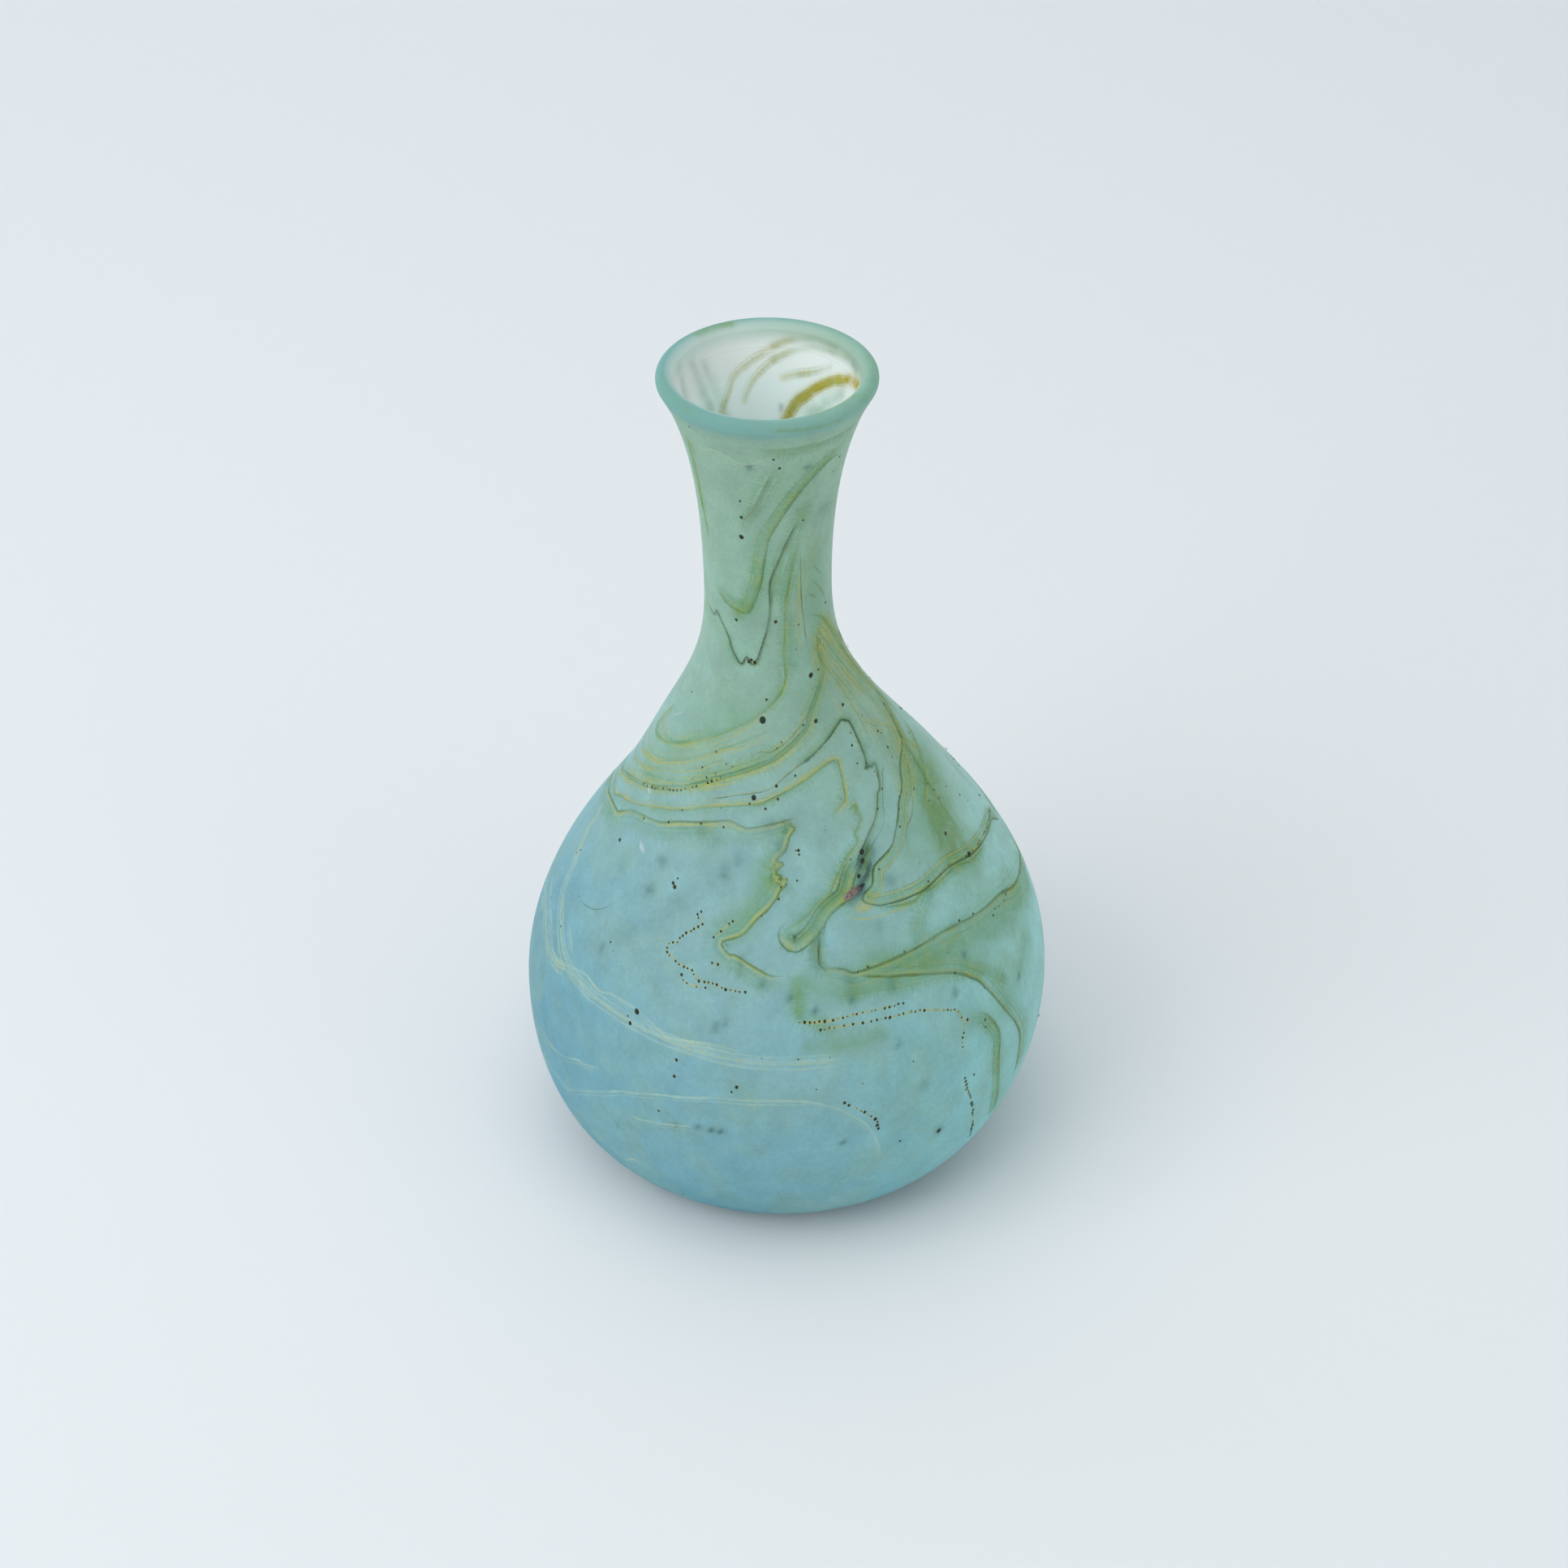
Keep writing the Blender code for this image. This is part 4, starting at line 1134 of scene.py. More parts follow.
def grown(name, guide, tree, inputs):
    """Runs a Geometry Nodes tree on a guide and keeps the result as a plain mesh."""
    holder = bpy.data.objects.new(name + "_guide", guide)
    bpy.context.scene.collection.objects.link(holder)
    modifier = holder.modifiers.new("tree", "NODES")
    modifier.node_group = tree
    for item in tree.interface.items_tree:
        if item.in_out == "INPUT" and item.name in inputs:
            modifier[item.identifier] = inputs[item.name]
    graph = bpy.context.evaluated_depsgraph_get()
    mesh = bpy.data.meshes.new_from_object(holder.evaluated_get(graph), depsgraph=graph)
    bpy.data.objects.remove(holder, do_unlink=True)
    bpy.data.meshes.remove(guide)
    if not mesh.polygons:
        raise RuntimeError(f"{name} came out empty")
    mesh.name = name
    return mesh


def seed_string():
    """Geometry Nodes tree that sets small seeds, each with an amber halo, on points or along lines.

    Each point carries the wall's normal, the seed's radius and how many times wider its halo is.
    """
    tree = bpy.data.node_groups.new("seed_string", "GeometryNodeTree")
    face = tree.interface
    face.new_socket("Geometry", in_out="INPUT", socket_type="NodeSocketGeometry")
    face.new_socket("Strung", in_out="INPUT", socket_type="NodeSocketBool")
    for label in ("Spacing", "Jitter", "Keep", "Lift"):
        face.new_socket(label, in_out="INPUT", socket_type="NodeSocketFloat")
    face.new_socket("Seed", in_out="INPUT", socket_type="NodeSocketInt")
    face.new_socket("Pit", in_out="INPUT", socket_type="NodeSocketMaterial")
    face.new_socket("Halo", in_out="INPUT", socket_type="NodeSocketMaterial")
    face.new_socket("Geometry", in_out="OUTPUT", socket_type="NodeSocketGeometry")
    given = add(tree, "NodeGroupInput").outputs
    lines = add(tree, "GeometryNodeMeshToCurve", {0: given["Geometry"]})
    lines = add(
        tree, "GeometryNodeResampleCurve",
        {0: lines.outputs[0], "Length": given["Spacing"]}, mode="LENGTH",
    )
    chosen = add(
        tree, "GeometryNodeSwitch",
        {"Switch": given["Strung"], "False": given["Geometry"], "True": lines.outputs[0]},
        input_type="GEOMETRY",
    )
    size, halo, pit, normal = (
        add(tree, "GeometryNodeInputNamedAttribute", {"Name": field}, data_type=kind).outputs[0]
        for field, kind in (
            ("size", "FLOAT"), ("halo", "FLOAT"), ("pit", "FLOAT"), ("wall_normal", "FLOAT_VECTOR"),
        )
    )
    stray = add(
        tree, "FunctionNodeRandomValue",
        {0: (-1.0, -1.0, -1.0), 1: (1.0, 1.0, 1.0), "Seed": given["Seed"]}, data_type="FLOAT_VECTOR",
    )
    stray = add(
        tree, "ShaderNodeVectorMath", {0: stray.outputs[0], "Scale": given["Jitter"]}, operation="SCALE"
    )
    raised = add(tree, "ShaderNodeVectorMath", {0: normal, "Scale": given["Lift"]}, operation="SCALE")
    shift = add(
        tree, "ShaderNodeVectorMath", {0: stray.outputs[0], 1: raised.outputs[0]}, operation="ADD"
    )
    moved = add(tree, "GeometryNodeSetPosition", {0: chosen.outputs[0], "Offset": shift.outputs[0]})
    luck = add(tree, "FunctionNodeRandomValue", {2: 0.0, 3: 1.0, 8: given["Seed"]}, data_type="FLOAT")
    kept = add(
        tree, "FunctionNodeCompare",
        {0: luck.outputs[1], 1: given["Keep"]}, data_type="FLOAT", operation="LESS_THAN",
    )
    spread = add(tree, "FunctionNodeRandomValue", {2: 0.6, 3: 1.4, 8: 5}, data_type="FLOAT")
    size = add(tree, "ShaderNodeMath", {0: size, 1: spread.outputs[1]}, operation="MULTIPLY")
    wide = add(tree, "ShaderNodeMath", {0: size.outputs[0], 1: halo}, operation="MULTIPLY")
    facing = add(tree, "FunctionNodeAlignRotationToVector", {"Vector": normal}, axis="Z")
    ball = add(tree, "GeometryNodeMeshIcoSphere", {"Radius": 1.0, "Subdivisions": 2})
    lens = add(tree, "GeometryNodeTransform", {0: ball.outputs[0], "Scale": (1.0, 1.25, 0.3)})
    disc = add(tree, "GeometryNodeMeshCircle", {"Vertices": 14, "Radius": 1.0}, fill_type="TRIANGLE_FAN")
    place = add(tree, "GeometryNodeInputPosition").outputs[0]
    radius = add(tree, "ShaderNodeVectorMath", {0: place}, operation="LENGTH")
    disc = add(
        tree, "GeometryNodeStoreNamedAttribute",
        {0: disc.outputs[0], "Name": "rim", "Value": radius.outputs["Value"]},
        data_type="FLOAT", domain="POINT",
    )
    lens = add(
        tree, "GeometryNodeStoreNamedAttribute", {0: lens.outputs[0], "Name": "pit", "Value": 1.0},
        data_type="FLOAT", domain="FACE",
    )
    pits, halos = (
        add(tree, "GeometryNodeInstanceOnPoints", {
            0: moved.outputs[0], "Selection": kept.outputs[0], "Instance": shape.outputs[0],
            "Rotation": facing.outputs[0], "Scale": scale.outputs[0],
        })
        for shape, scale in ((lens, size), (disc, wide))
    )
    both = add(tree, "GeometryNodeJoinGeometry", {0: pits.outputs[0]})
    tree.links.new(halos.outputs[0], both.inputs[0])
    real = add(tree, "GeometryNodeRealizeInstances", {0: both.outputs[0]})
    is_pit = add(
        tree, "FunctionNodeCompare", {0: pit, 1: 0.5}, data_type="FLOAT", operation="GREATER_THAN",
    )
    haloed = add(tree, "GeometryNodeSetMaterial", {0: real.outputs[0], "Material": given["Halo"]})
    pitted = add(
        tree, "GeometryNodeSetMaterial",
        {0: haloed.outputs[0], "Selection": is_pit.outputs[0], "Material": given["Pit"]},
    )
    add(tree, "NodeGroupOutput", {0: pitted.outputs[0]})
    return tree


# Strings of blisters drawn out along a thread: radius in millimetres and route.
SEED_STRINGS = (
    (0.17, (
        (-27, 1.82), (-28, 1.79), (-25.5, 1.775), (-27, 1.74), (-31, 1.675), (-31.5, 1.65), (-34, 1.62),
        (-33.5, 1.59), (-31.5, 1.585), (-29.5, 1.565), (-25.5, 1.56), (-23.5, 1.53), (-19, 1.53),
        (-15.5, 1.52), (-10, 1.52),
    )),
    (0.16, ((-28, 1.53), (-26.5, 1.505), (-21, 1.51))),
    (0.15, ((-17, 1.815), (-21.5, 1.715))),
    (0.17, ((-20.5, 1.61), (-17.5, 1.605))),
    (0.17, ((0, 1.43), (3, 1.42), (9.5, 1.42), (16.5, 1.43), (27.5, 1.425))),
    (0.17, (
        (7, 1.39), (16.5, 1.395), (28, 1.385), (33, 1.37), (40, 1.325), (41.5, 1.305), (42.5, 1.27),
        (43.5, 1.265), (42, 1.24), (41, 1.18),
    )),
    (0.21, ((41, 1.055), (44.5, 0.89), (47, 0.755), (48, 0.67))),
    (0.21, ((12, 1.12), (18.5, 1.04), (19.5, 0.99))),
    (0.15, ((-72, 2.12), (-48, 2.2), (-28, 2.29))),
    (0.15, ((100, 1.66), (92, 1.7), (80, 1.75), (66, 1.8))),
    (0.17, ((140, 1.3), (156, 1.27), (172, 1.22), (184, 1.14), (190, 1.02))),
    (0.17, ((210, 1.72), (222, 1.66), (232, 1.67), (238, 1.6))),
    (0.18, ((110, 1.86), (122, 1.94), (128, 2.04))),
)

# Routes of the trails that carry a sprinkle of burnt specks.
TRAIL_SPECKS = (
    ((94, 2.37), (81.5, 2.245), (68, 2.21), (53, 2.14), (42, 2.07), (31, 2.035)),
    ((88, 1.46), (74, 1.52), (60, 1.58), (45, 1.615), (30, 1.605), (18, 1.585)),
    ((84, 1.5), (70, 1.52), (54, 1.53), (40, 1.53)),
    ((52, 2.42), (50, 2.3), (48, 2.2), (38, 2.14), (28, 2.08)),
    ((42, 1.0), (50, 1.3), (44, 1.44), (34, 1.5), (20, 1.56)),
    ((30, 1.855), (43, 1.84), (56, 1.85)),
    ((88, 2.3), (78, 2.2), (70, 2.08), (66, 2.3), (74, 2.42)),
    ((-20, 2.17), (-5, 2.175), (1, 2.11), (-2, 2.05), (-8, 1.88)),
    ((30, 2.57), (9, 2.445), (-13.5, 2.38), (-40, 2.25)),
    ((150, 1.46), (176, 1.6), (203, 1.5), (226, 1.41)),
    ((112, 2.6), (140, 2.38), (178, 2.22), (206, 2.06)),
    ((200, 2.16), (182, 1.98), (200, 1.87), (228, 1.79)),
)

# Single seeds and burnt specks: radius in millimetres, how many times wider the halo is, and places.
SPECKS = (
    (0.5, 1.9, (
        (-21, 3.32), (-6, 2.53), (34, 2.7), (-37, 1.34), (-11, 2.25), (28, 2.08), (27, 2.06),
        (24, 2.03), (68, 1.79), (35, 0.87), (150, 2.3), (204, 1.9), (170, 3.2), (226, 2.5), (132, 1.1),
    )),
    (0.3, 2.2, (
        (-20, 3.42), (-20, 3.51), (4, 3.81), (8, 3.74), (57, 3.68), (-29, 2.97), (63, 2.98), (0, 2.29),
        (10, 2.32), (-39, 1.31), (-38, 1.29), (-25, 1.23), (-25, 1.17), (-28, 1.02), (-39, 1.92),
        (-38, 1.97), (-38, 1.9), (-83, 1.37), (-71, 1.38), (-12, 1.16), (-11, 1.18), (53, 2.51),
        (29, 2.5), (-62, 2.06), (-49, 2.1), (-34, 2.14), (-24, 2.15), (-68, 1.9), (78, 0.91),
        (-47, 3.95), (5, 2.11), (100, 1.75), (64, 2.01), (64, 2.14), (-17, 2.79), (-15, 2.8),
        (-12, 2.79), (7, 2.98), (112, 2.2), (121, 1.5), (137, 2.45), (145, 1.62), (159, 1.2),
        (166, 2.05), (178, 1.45), (187, 2.3), (198, 1.1), (211, 1.35), (219, 2.2), (233, 1.85),
        (245, 1.3), (160, 3.6), (190, 3.3), (215, 3.7), (240, 3.1), (140, 3.1),
    )),
    (0.19, 2.2, (
        (54, 3.6), (35, 3.46), (30, 3.39), (28, 2.95), (24, 2.84), (42, 2.71), (-67, 2.52), (-3, 2.62),
        (-33, 2.37), (-39, 2.3), (-66, 2.16), (-43, 2.25), (-44, 2.15), (-26, 2.2), (-13, 2.23),
        (0, 2.25), (-6, 2.22), (5, 2.1), (4, 2.11), (3, 2.04), (23, 2.07), (84, 2.26), (91, 2.21),
        (56, 2.24), (64, 2.42), (70, 2.32), (82, 2.06), (73, 2.07), (67, 2.09), (88, 1.92), (86, 2.01),
        (47, 2.0), (51, 2.13), (42, 2.16), (19, 2.07), (-6, 1.29), (2, 1.29), (9, 1.29), (28, 1.21),
        (-70, 1.53), (-94, 1.3), (-84, 1.59), (-83, 1.62), (25, 0.9), (16, 1.18), (-1, 0.68),
        (-25, 0.5), (-51, 1.51), (-49, 1.49), (6, 1.18), (-26, 2.34), (44, 2.3), (46, 2.36), (49, 2.4),
        (108, 1.9), (116, 2.35), (124, 1.25), (130, 1.95), (143, 2.1), (149, 0.9), (155, 1.98),
        (163, 1.35), (172, 1.85), (180, 2.1), (186, 1.28), (194, 1.66), (201, 2.25), (208, 0.95),
        (217, 1.5), (224, 1.98), (230, 1.2), (238, 2.3), (244, 1.7), (150, 2.8), (200, 2.7), (175, 3.4),
        (130, 3.5), (230, 3.5),
    )),
)


# Blisters on a string swell, single specks shrink a little, and a speck of a sprinkle has this
# radius in millimetres and halo. All sit just clear of the threads.
STRUNG_SWELL, STRUNG_HALO = 1.35, 1.7
SPECK_SHRINK, HALO_SHRINK = 0.95, 0.8
TRAIL_SPECK = (0.19, 1.8)
SEED_LIFT = 0.07 * MM

# The stone: the places of its ends and middle, and its half length, width and height and how
# deep it is sunk, in millimetres.
STONE_ENDS = ((17.6, 1.98), (24.8, 2.015))
STONE_MIDDLE = (21.2, 1.998)
STONE_HALF_SIZES = (2.7, 0.9, 0.3)
STONE_SINK = 0.02


def seed_guide(name, seeds):
    """Points on the wall for seeds, from (radius, halo, places, joined): joined ones are a line."""
    points, edges, normals, sizes, halos = [], [], [], [], []
    for radius, halo, places, joined in seeds:
        start = sum(map(len, points))
        points.append(wall_point(places))
        normals.append(wall_normal(places))
        sizes.append(np.full(len(places), radius * MM))
        halos.append(np.full(len(places), halo))
        if joined:
            edges += [(start + i, start + i + 1) for i in range(len(places) - 1)]
    mesh = bpy.data.meshes.new(name)
    mesh.from_pydata(np.vstack(points).tolist(), edges, [])
    lists = {"wall_normal": normals, "size": sizes, "halo": halos}
    store(mesh, {key: np.concatenate(value) for key, value in lists.items()})
    return mesh


def over_the_wall(piece):
    """A thread lies in the wall's own skin, so it casts no shadow on it."""
    piece.visible_shadow = False
    piece.visible_diffuse = False


class VaseSizes(bpy.types.PropertyGroup):
    """Sizes of what lies on the wall."""

    thread_step: bpy.props.FloatProperty(
        name="Thread step", description="Length of one facet along a thread",
        default=0.4 * MM, unit="LENGTH", subtype="DISTANCE",
    )
    thread_lift: bpy.props.FloatProperty(
        name="Thread lift", description="Height of a thread over the wall",
        default=0.02 * MM, unit="LENGTH", subtype="DISTANCE",
    )
    thread_wander: bpy.props.FloatProperty(
        name="Thread wander", description="How far a thread strays sideways",
        default=0.5 * MM, unit="LENGTH", subtype="DISTANCE",
    )
    seed_spacing: bpy.props.FloatProperty(
        name="Blister spacing", description="Distance between the blisters of a string",
        default=1.0 * MM, unit="LENGTH", subtype="DISTANCE",
    )
    lip_radius: bpy.props.FloatProperty(
        name="Lip radius", description="Radius of the lip's round section",
        default=1.8 * MM, unit="LENGTH", subtype="DISTANCE",
    )
    wall_columns: bpy.props.IntProperty(
        name="Wall columns", description="Faces round the wall", default=360, min=36,
    )


class VaseColours(bpy.types.PropertyGroup):
    """Colours of the glass, from the foot up, as linear values."""

    # The foot colour holds painted shade near the floor as well as the thicker glass's deeper blue.
    foot: bpy.props.FloatVectorProperty(
        name="Foot", description="Glass at the foot", size=3, subtype="COLOR",
        default=linear("#4c8c9b")[:3],
    )
    low_belly: bpy.props.FloatVectorProperty(
        name="Low belly", description="Glass low on the belly", size=3, subtype="COLOR",
        default=linear("#75b1bd")[:3],
    )
    belly: bpy.props.FloatVectorProperty(
        name="Belly", description="Glass at the belly and shoulder", size=3, subtype="COLOR",
        default=linear("#98c2c6")[:3],
    )
    neck_root: bpy.props.FloatVectorProperty(
        name="Neck root", description="Glass where the neck begins", size=3, subtype="COLOR",
        default=linear("#95bcab")[:3],
    )
    neck: bpy.props.FloatVectorProperty(
        name="Neck", description="Glass of the neck", size=3, subtype="COLOR",
        default=linear("#97bba4")[:3],
    )


# Soft clouds of coloured glass deep in the wall: stain, half width in millimetres, strength, route.
CLOUDS = (
    ("dark_stain", 1.5, 1.0, ((31, 2.075), (27, 2.045), (23.5, 2.0), (20, 1.965))),
    ("dark_stain", 1.1, 0.7, ((8, 1.78), (7, 1.7), (7.5, 1.63))),
    ("haze_stain", 7.5, 0.7, ((82, 2.17), (70, 2.08), (63, 2.01), (65, 1.84))),
    ("olive_stain", 5.5, 0.7, ((78, 2.12), (66, 2.03), (64, 1.88))),
    ("olive_stain", 3.0, 0.85, ((65, 2.05), (69, 2.0))),
    ("olive_stain", 2.8, 0.7, ((60, 2.0), (62, 1.84))),
    ("olive_stain", 2.2, 0.4, ((73, 1.99), (75, 1.83))),
    ("haze_stain", 2.0, 0.6, ((54, 2.12), (45, 2.04))),
    ("haze_stain", 4.5, 0.8, ((22, 1.57), (33, 1.55), (46, 1.53), (61, 1.49), (74, 1.42), (88, 1.38))),
    ("haze_stain", 4.5, 0.6, ((76, 1.36), (68, 1.28), (57, 1.23))),
    ("olive_stain", 2.6, 0.35, ((29, 1.56), (40, 1.5), (52, 1.41), (61, 1.35))),
    ("haze_stain", 3.0, 0.6, ((-8, 2.06), (-9, 2.01), (-12, 1.88), (-16, 1.78))),
    ("haze_stain", 2.2, 0.8, ((2, 1.56), (2, 1.46))),
    ("haze_stain", 3.0, 0.6, ((5, 1.55), (12, 1.51), (17, 1.53))),
    ("haze_stain", 1.8, 0.7, ((5, 1.33), (11, 1.33), (21, 1.34))),
    ("haze_stain", 2.6, 0.7, ((26, 2.06), (18, 1.98), (9, 1.9), (4, 1.8))),
    ("dark_stain", 2.4, 0.22, ((-49, 1.55), (-37, 1.76), (-26, 2.01), (-17, 2.08))),
    ("haze_stain", 1.6, 0.5, ((-81, 2.92), (-50, 2.89), (-30, 2.79))),
    ("olive_stain", 1.2, 0.7, ((-18, 3.03), (-29, 3.0))),
    ("olive_stain", 1.5, 0.5, ((-57, 3.78), (-62, 3.57), (-63, 3.39))),
    ("haze_stain", 2.0, 0.6, ((-4, 3.19), (-11, 3.06), (-23, 2.99))),
    ("haze_stain", 3.5, 0.45, ((-77, 2.18), (-61, 2.29), (-42, 2.41), (-25, 2.54))),
    ("haze_stain", 2.8, 0.6, ((41, 3.19), (48, 2.95), (43, 2.69), (30, 2.56))),
    ("haze_stain", 4.0, 0.6, ((64, 2.85), (88, 2.57), (95, 2.35), (78, 2.22), (68, 2.16))),
    ("haze_stain", 2.6, 0.6, ((46, 1.26), (51, 1.13), (54, 0.91), (61, 0.62))),
    ("haze_stain", 6.0, 0.5, ((150, 2.1), (170, 2.0), (196, 1.9))),
    ("olive_stain", 3.0, 0.4, ((166, 2.02), (184, 1.93))),
    ("haze_stain", 4.0, 0.6, ((130, 1.42), (150, 1.48), (175, 1.56), (205, 1.46))),
    ("haze_stain", 3.0, 0.5, ((110, 2.6), (135, 2.42), (165, 2.28))),
    ("haze_stain", 2.6, 0.5, ((150, 3.4), (160, 3.1), (175, 2.9))),
)

# Round blurred spots under the surface: half width in millimetres, strength, places.
BLURRED_SPOTS = (
    (0.9, 0.85, (
        (-24, 0.98), (-19, 1.0), (-16, 1.0), (-14, 1.0), (-17, 1.38), (-15, 1.4), (-39, 0.86),
        (0, 1.51), (-53, 1.47), (58, 1.3), (64, 1.24), (6, 1.46), (15, 1.48), (25, 1.29), (48, 1.48),
        (42, 1.38), (-11, 3.74), (27, 3.71), (12, 0.96), (-13, 1.64), (-13, 1.59), (-7, 1.56),
    )),
    (1.5, 0.6, (
        (-46, 2.01), (-46, 1.81), (-22, 2.04), (-18, 2.07), (34, 2.0), (35, 0.87), (15, 1.56),
        (16, 1.51), (26, 1.5), (-5, 2.17), (2, 2.17), (-1, 2.12), (-33, 2.12),
    )),
    (1.7, 0.3, ((-37, 1.81), (-61, 1.82), (-53, 1.23), (26, 1.75), (30, 1.11), (51, 3.4), (-27, 2.11))),
    (1.3, 0.5, (
        (120, 1.9), (133, 1.3), (148, 1.15), (158, 1.85), (171, 1.7), (182, 1.35), (197, 1.78),
        (204, 1.2), (215, 2.05), (229, 1.62), (241, 1.9), (247, 1.15), (162, 3.5), (205, 3.2),
        (236, 3.6), (150, 2.5),
    )),
)

# Wisps of the marbling where they show on the inner face of the neck.
INSIDE_WISPS = (
    ("yellow_stain", 1.15, 1.25, (
        (164, 3.55), (156, 3.64), (147, 3.7), (136, 3.77), (122, 3.84), (107, 3.9), (94, 3.93),
    )),
    ("yellow_stain", 0.9, 0.35, (
        (222, 3.62), (213, 3.7), (206, 3.78), (195, 3.83), (185, 3.88), (176, 3.92), (165, 3.96),
    )),
    ("olive_stain", 0.8, 0.5, ((176, 3.92), (165, 3.96), (151, 3.99), (132, 3.99))),
    ("yellow_stain", 0.7, 0.3, ((199, 3.65), (194, 3.72), (186, 3.78), (176, 3.85), (164, 3.9))),
    ("olive_stain", 0.8, 0.42, (
        (176, 3.85), (164, 3.9), (151, 3.94), (133, 3.96), (118, 3.98), (102, 3.98),
    )),
    ("yellow_stain", 0.8, 0.35, ((168, 3.76), (158, 3.79), (150, 3.8))),
    ("olive_stain", 0.7, 0.4, ((156, 3.79), (145, 3.82), (133, 3.88))),
    ("dark_stain", 0.8, 0.45, ((112, 3.97), (106, 3.96))),
    ("haze_stain", 1.6, 0.4, ((237, 3.92), (236, 3.8), (232, 3.66))),
    ("haze_stain", 1.4, 0.35, ((228, 3.9), (224, 3.76), (220, 3.6))),
    ("dark_stain", 0.5, 0.5, ((168.5, 3.62), (168.5, 3.6))),
    ("haze_stain", 1.8, 0.45, ((140, 3.62), (126, 3.7), (112, 3.8))),
    ("haze_stain", 1.5, 0.4, ((252, 3.96), (262, 3.8), (270, 3.66))),
    ("olive_stain", 1.1, 0.4, ((40, 3.9), (20, 3.8), (-10, 3.86), (-38, 3.78))),
)

# Streaks in the lip: stain, half width in millimetres, strength, and a route of (angle round the
# vase, turn round the bead), both in degrees.
LIP_STREAKS = (
    ("olive_stain", 1.0, 0.7, ((224, 100), (212, 100), (202, 105))),
    ("olive_stain", 0.8, 0.55, ((24, 112), (38, 108), (57, 100))),
    ("olive_stain", 0.4, 0.7, ((6, 18), (14, 10), (25, 4), (40, 0))),
    ("haze_stain", 1.4, 0.5, ((60, 40), (80, 60), (104, 70))),
    ("haze_stain", 1.2, 0.4, ((280, 60), (300, 50), (320, 30))),
)


def falloff(points, route_points, half_width):
    """How much of a soft brush drawn along a line reaches each point, from 0 to 1."""
    reach = np.zeros(len(points))
    margin = 2.2 * half_width
    low, high = route_points.min(0) - margin, route_points.max(0) + margin
    near = np.flatnonzero(((points > low) & (points < high)).all(1))
    if len(near):
        distance = np.linalg.norm(points[near, None] - route_points[None], axis=2).min(1)
        reach[near] = np.exp(-((distance / half_width) ** 2))
    return reach


def brushed(on_face, clouds):
    """Clouds as strokes over a face of the wall: stain, half width, strength and points."""
    return [(key, wide, much, on_face(smooth_route(route, 6))) for key, wide, much, route in clouds]


def stain(mesh, strokes):
    """Stores the soft strokes of coloured glass on a mesh's points, where the strongest one counts."""
    points = np.empty(len(mesh.vertices) * 3, np.float32)
    mesh.vertices.foreach_get("co", points)
    points = points.reshape(-1, 3)
    stains = {key: np.zeros(len(points)) for key in STAINS}
    for key, half_width, strength, line in strokes:
        stains[key] = np.maximum(stains[key], strength * falloff(points, line, half_width * MM))
    store(mesh, stains)


class VASE_OT_wall(bpy.types.Operator):
    """Turns the blown wall, from under the kicked-up base to the mouth, and stains it"""

    bl_idname = "vase.wall"
    bl_label = "Blown wall"

    def execute(self, context):
        # From the middle of the pushed-up base out to the ring it stands on.
        ring_inner = FOOT_RADIUS - FOOT_RING_WIDTH
        kick = np.array((
            (0.0, KICK_HEIGHT), (0.5 * ring_inner, KICK_HEIGHT),
            (0.8 * ring_inner, 0.35 * KICK_HEIGHT), (ring_inner, 0.0),
        ))
        under = bezier(np.repeat(kick[None], 16, 0), np.linspace(0.03, 0.97, 16))
        turn = np.linspace(0.0, 1.0, 6)[:, None]
        ring = (1 - turn) * kick[3] + turn * np.array((FOOT_RADIUS, 0.0))
        # Up the outside, over the mouth and down the inside, closest where the inside is seen.
        dense = np.linspace(0.0, 4.0, 1601)
        at, _ = evenly(outline_at(dense), WALL_STEP)
        outside = np.interp(at, np.arange(len(dense)), dense)[1:]
        seat = np.array(((MOUTH_RADIUS - 1.2 * MM, MOUTH_HEIGHT),))
        inside = np.concatenate((np.linspace(3.99, 3.3, 64), np.linspace(3.25, 0.1, 16)))
        # Into the well of the floor.
        floor_height = KICK_HEIGHT + FLOOR_THICKNESS
        floor = np.array((
            (FOOT_RADIUS, FLOOR_THICKNESS), (0.6 * FOOT_RADIUS, FLOOR_THICKNESS),
            (0.45 * FOOT_RADIUS, floor_height), (0.0, floor_height),
        ))
        well = bezier(np.repeat(floor[None], 8, 0), np.linspace(0.1, 0.95, 8))
        profile = np.vstack((under, ring, outline_at(outside), seat, inner_outline(inside), well))
        base, lined = np.zeros(len(under) + len(ring)), len(inside) + len(well)
        lining = np.concatenate((np.zeros(len(profile) - lined), np.ones(lined)))
        stations = np.concatenate((base, outside, (4.0,), inside, np.zeros(len(well))))
        glow = GLOW * np.clip((SEAM_STATION - stations) / SEAM_FADE, 0.0, 1.0)
        columns = context.scene.vase_sizes.wall_columns
        mesh = turned_mesh("blown_wall", profile, columns, False, {"inside": lining, "glow": glow})
        strokes = brushed(wall_point, CLOUDS)
        for half_width, strength, places in BLURRED_SPOTS:
            for place in places:
                spot = wall_point(np.array([place], float))
                strokes.append(("dark_stain", half_width, strength, spot))
        strokes += brushed(inner_point, INSIDE_WISPS)
        stain(mesh, strokes)
        piece = show("blown_wall", mesh, aqua_satin_glass())
        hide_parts("body_wall")
        return {"FINISHED"}


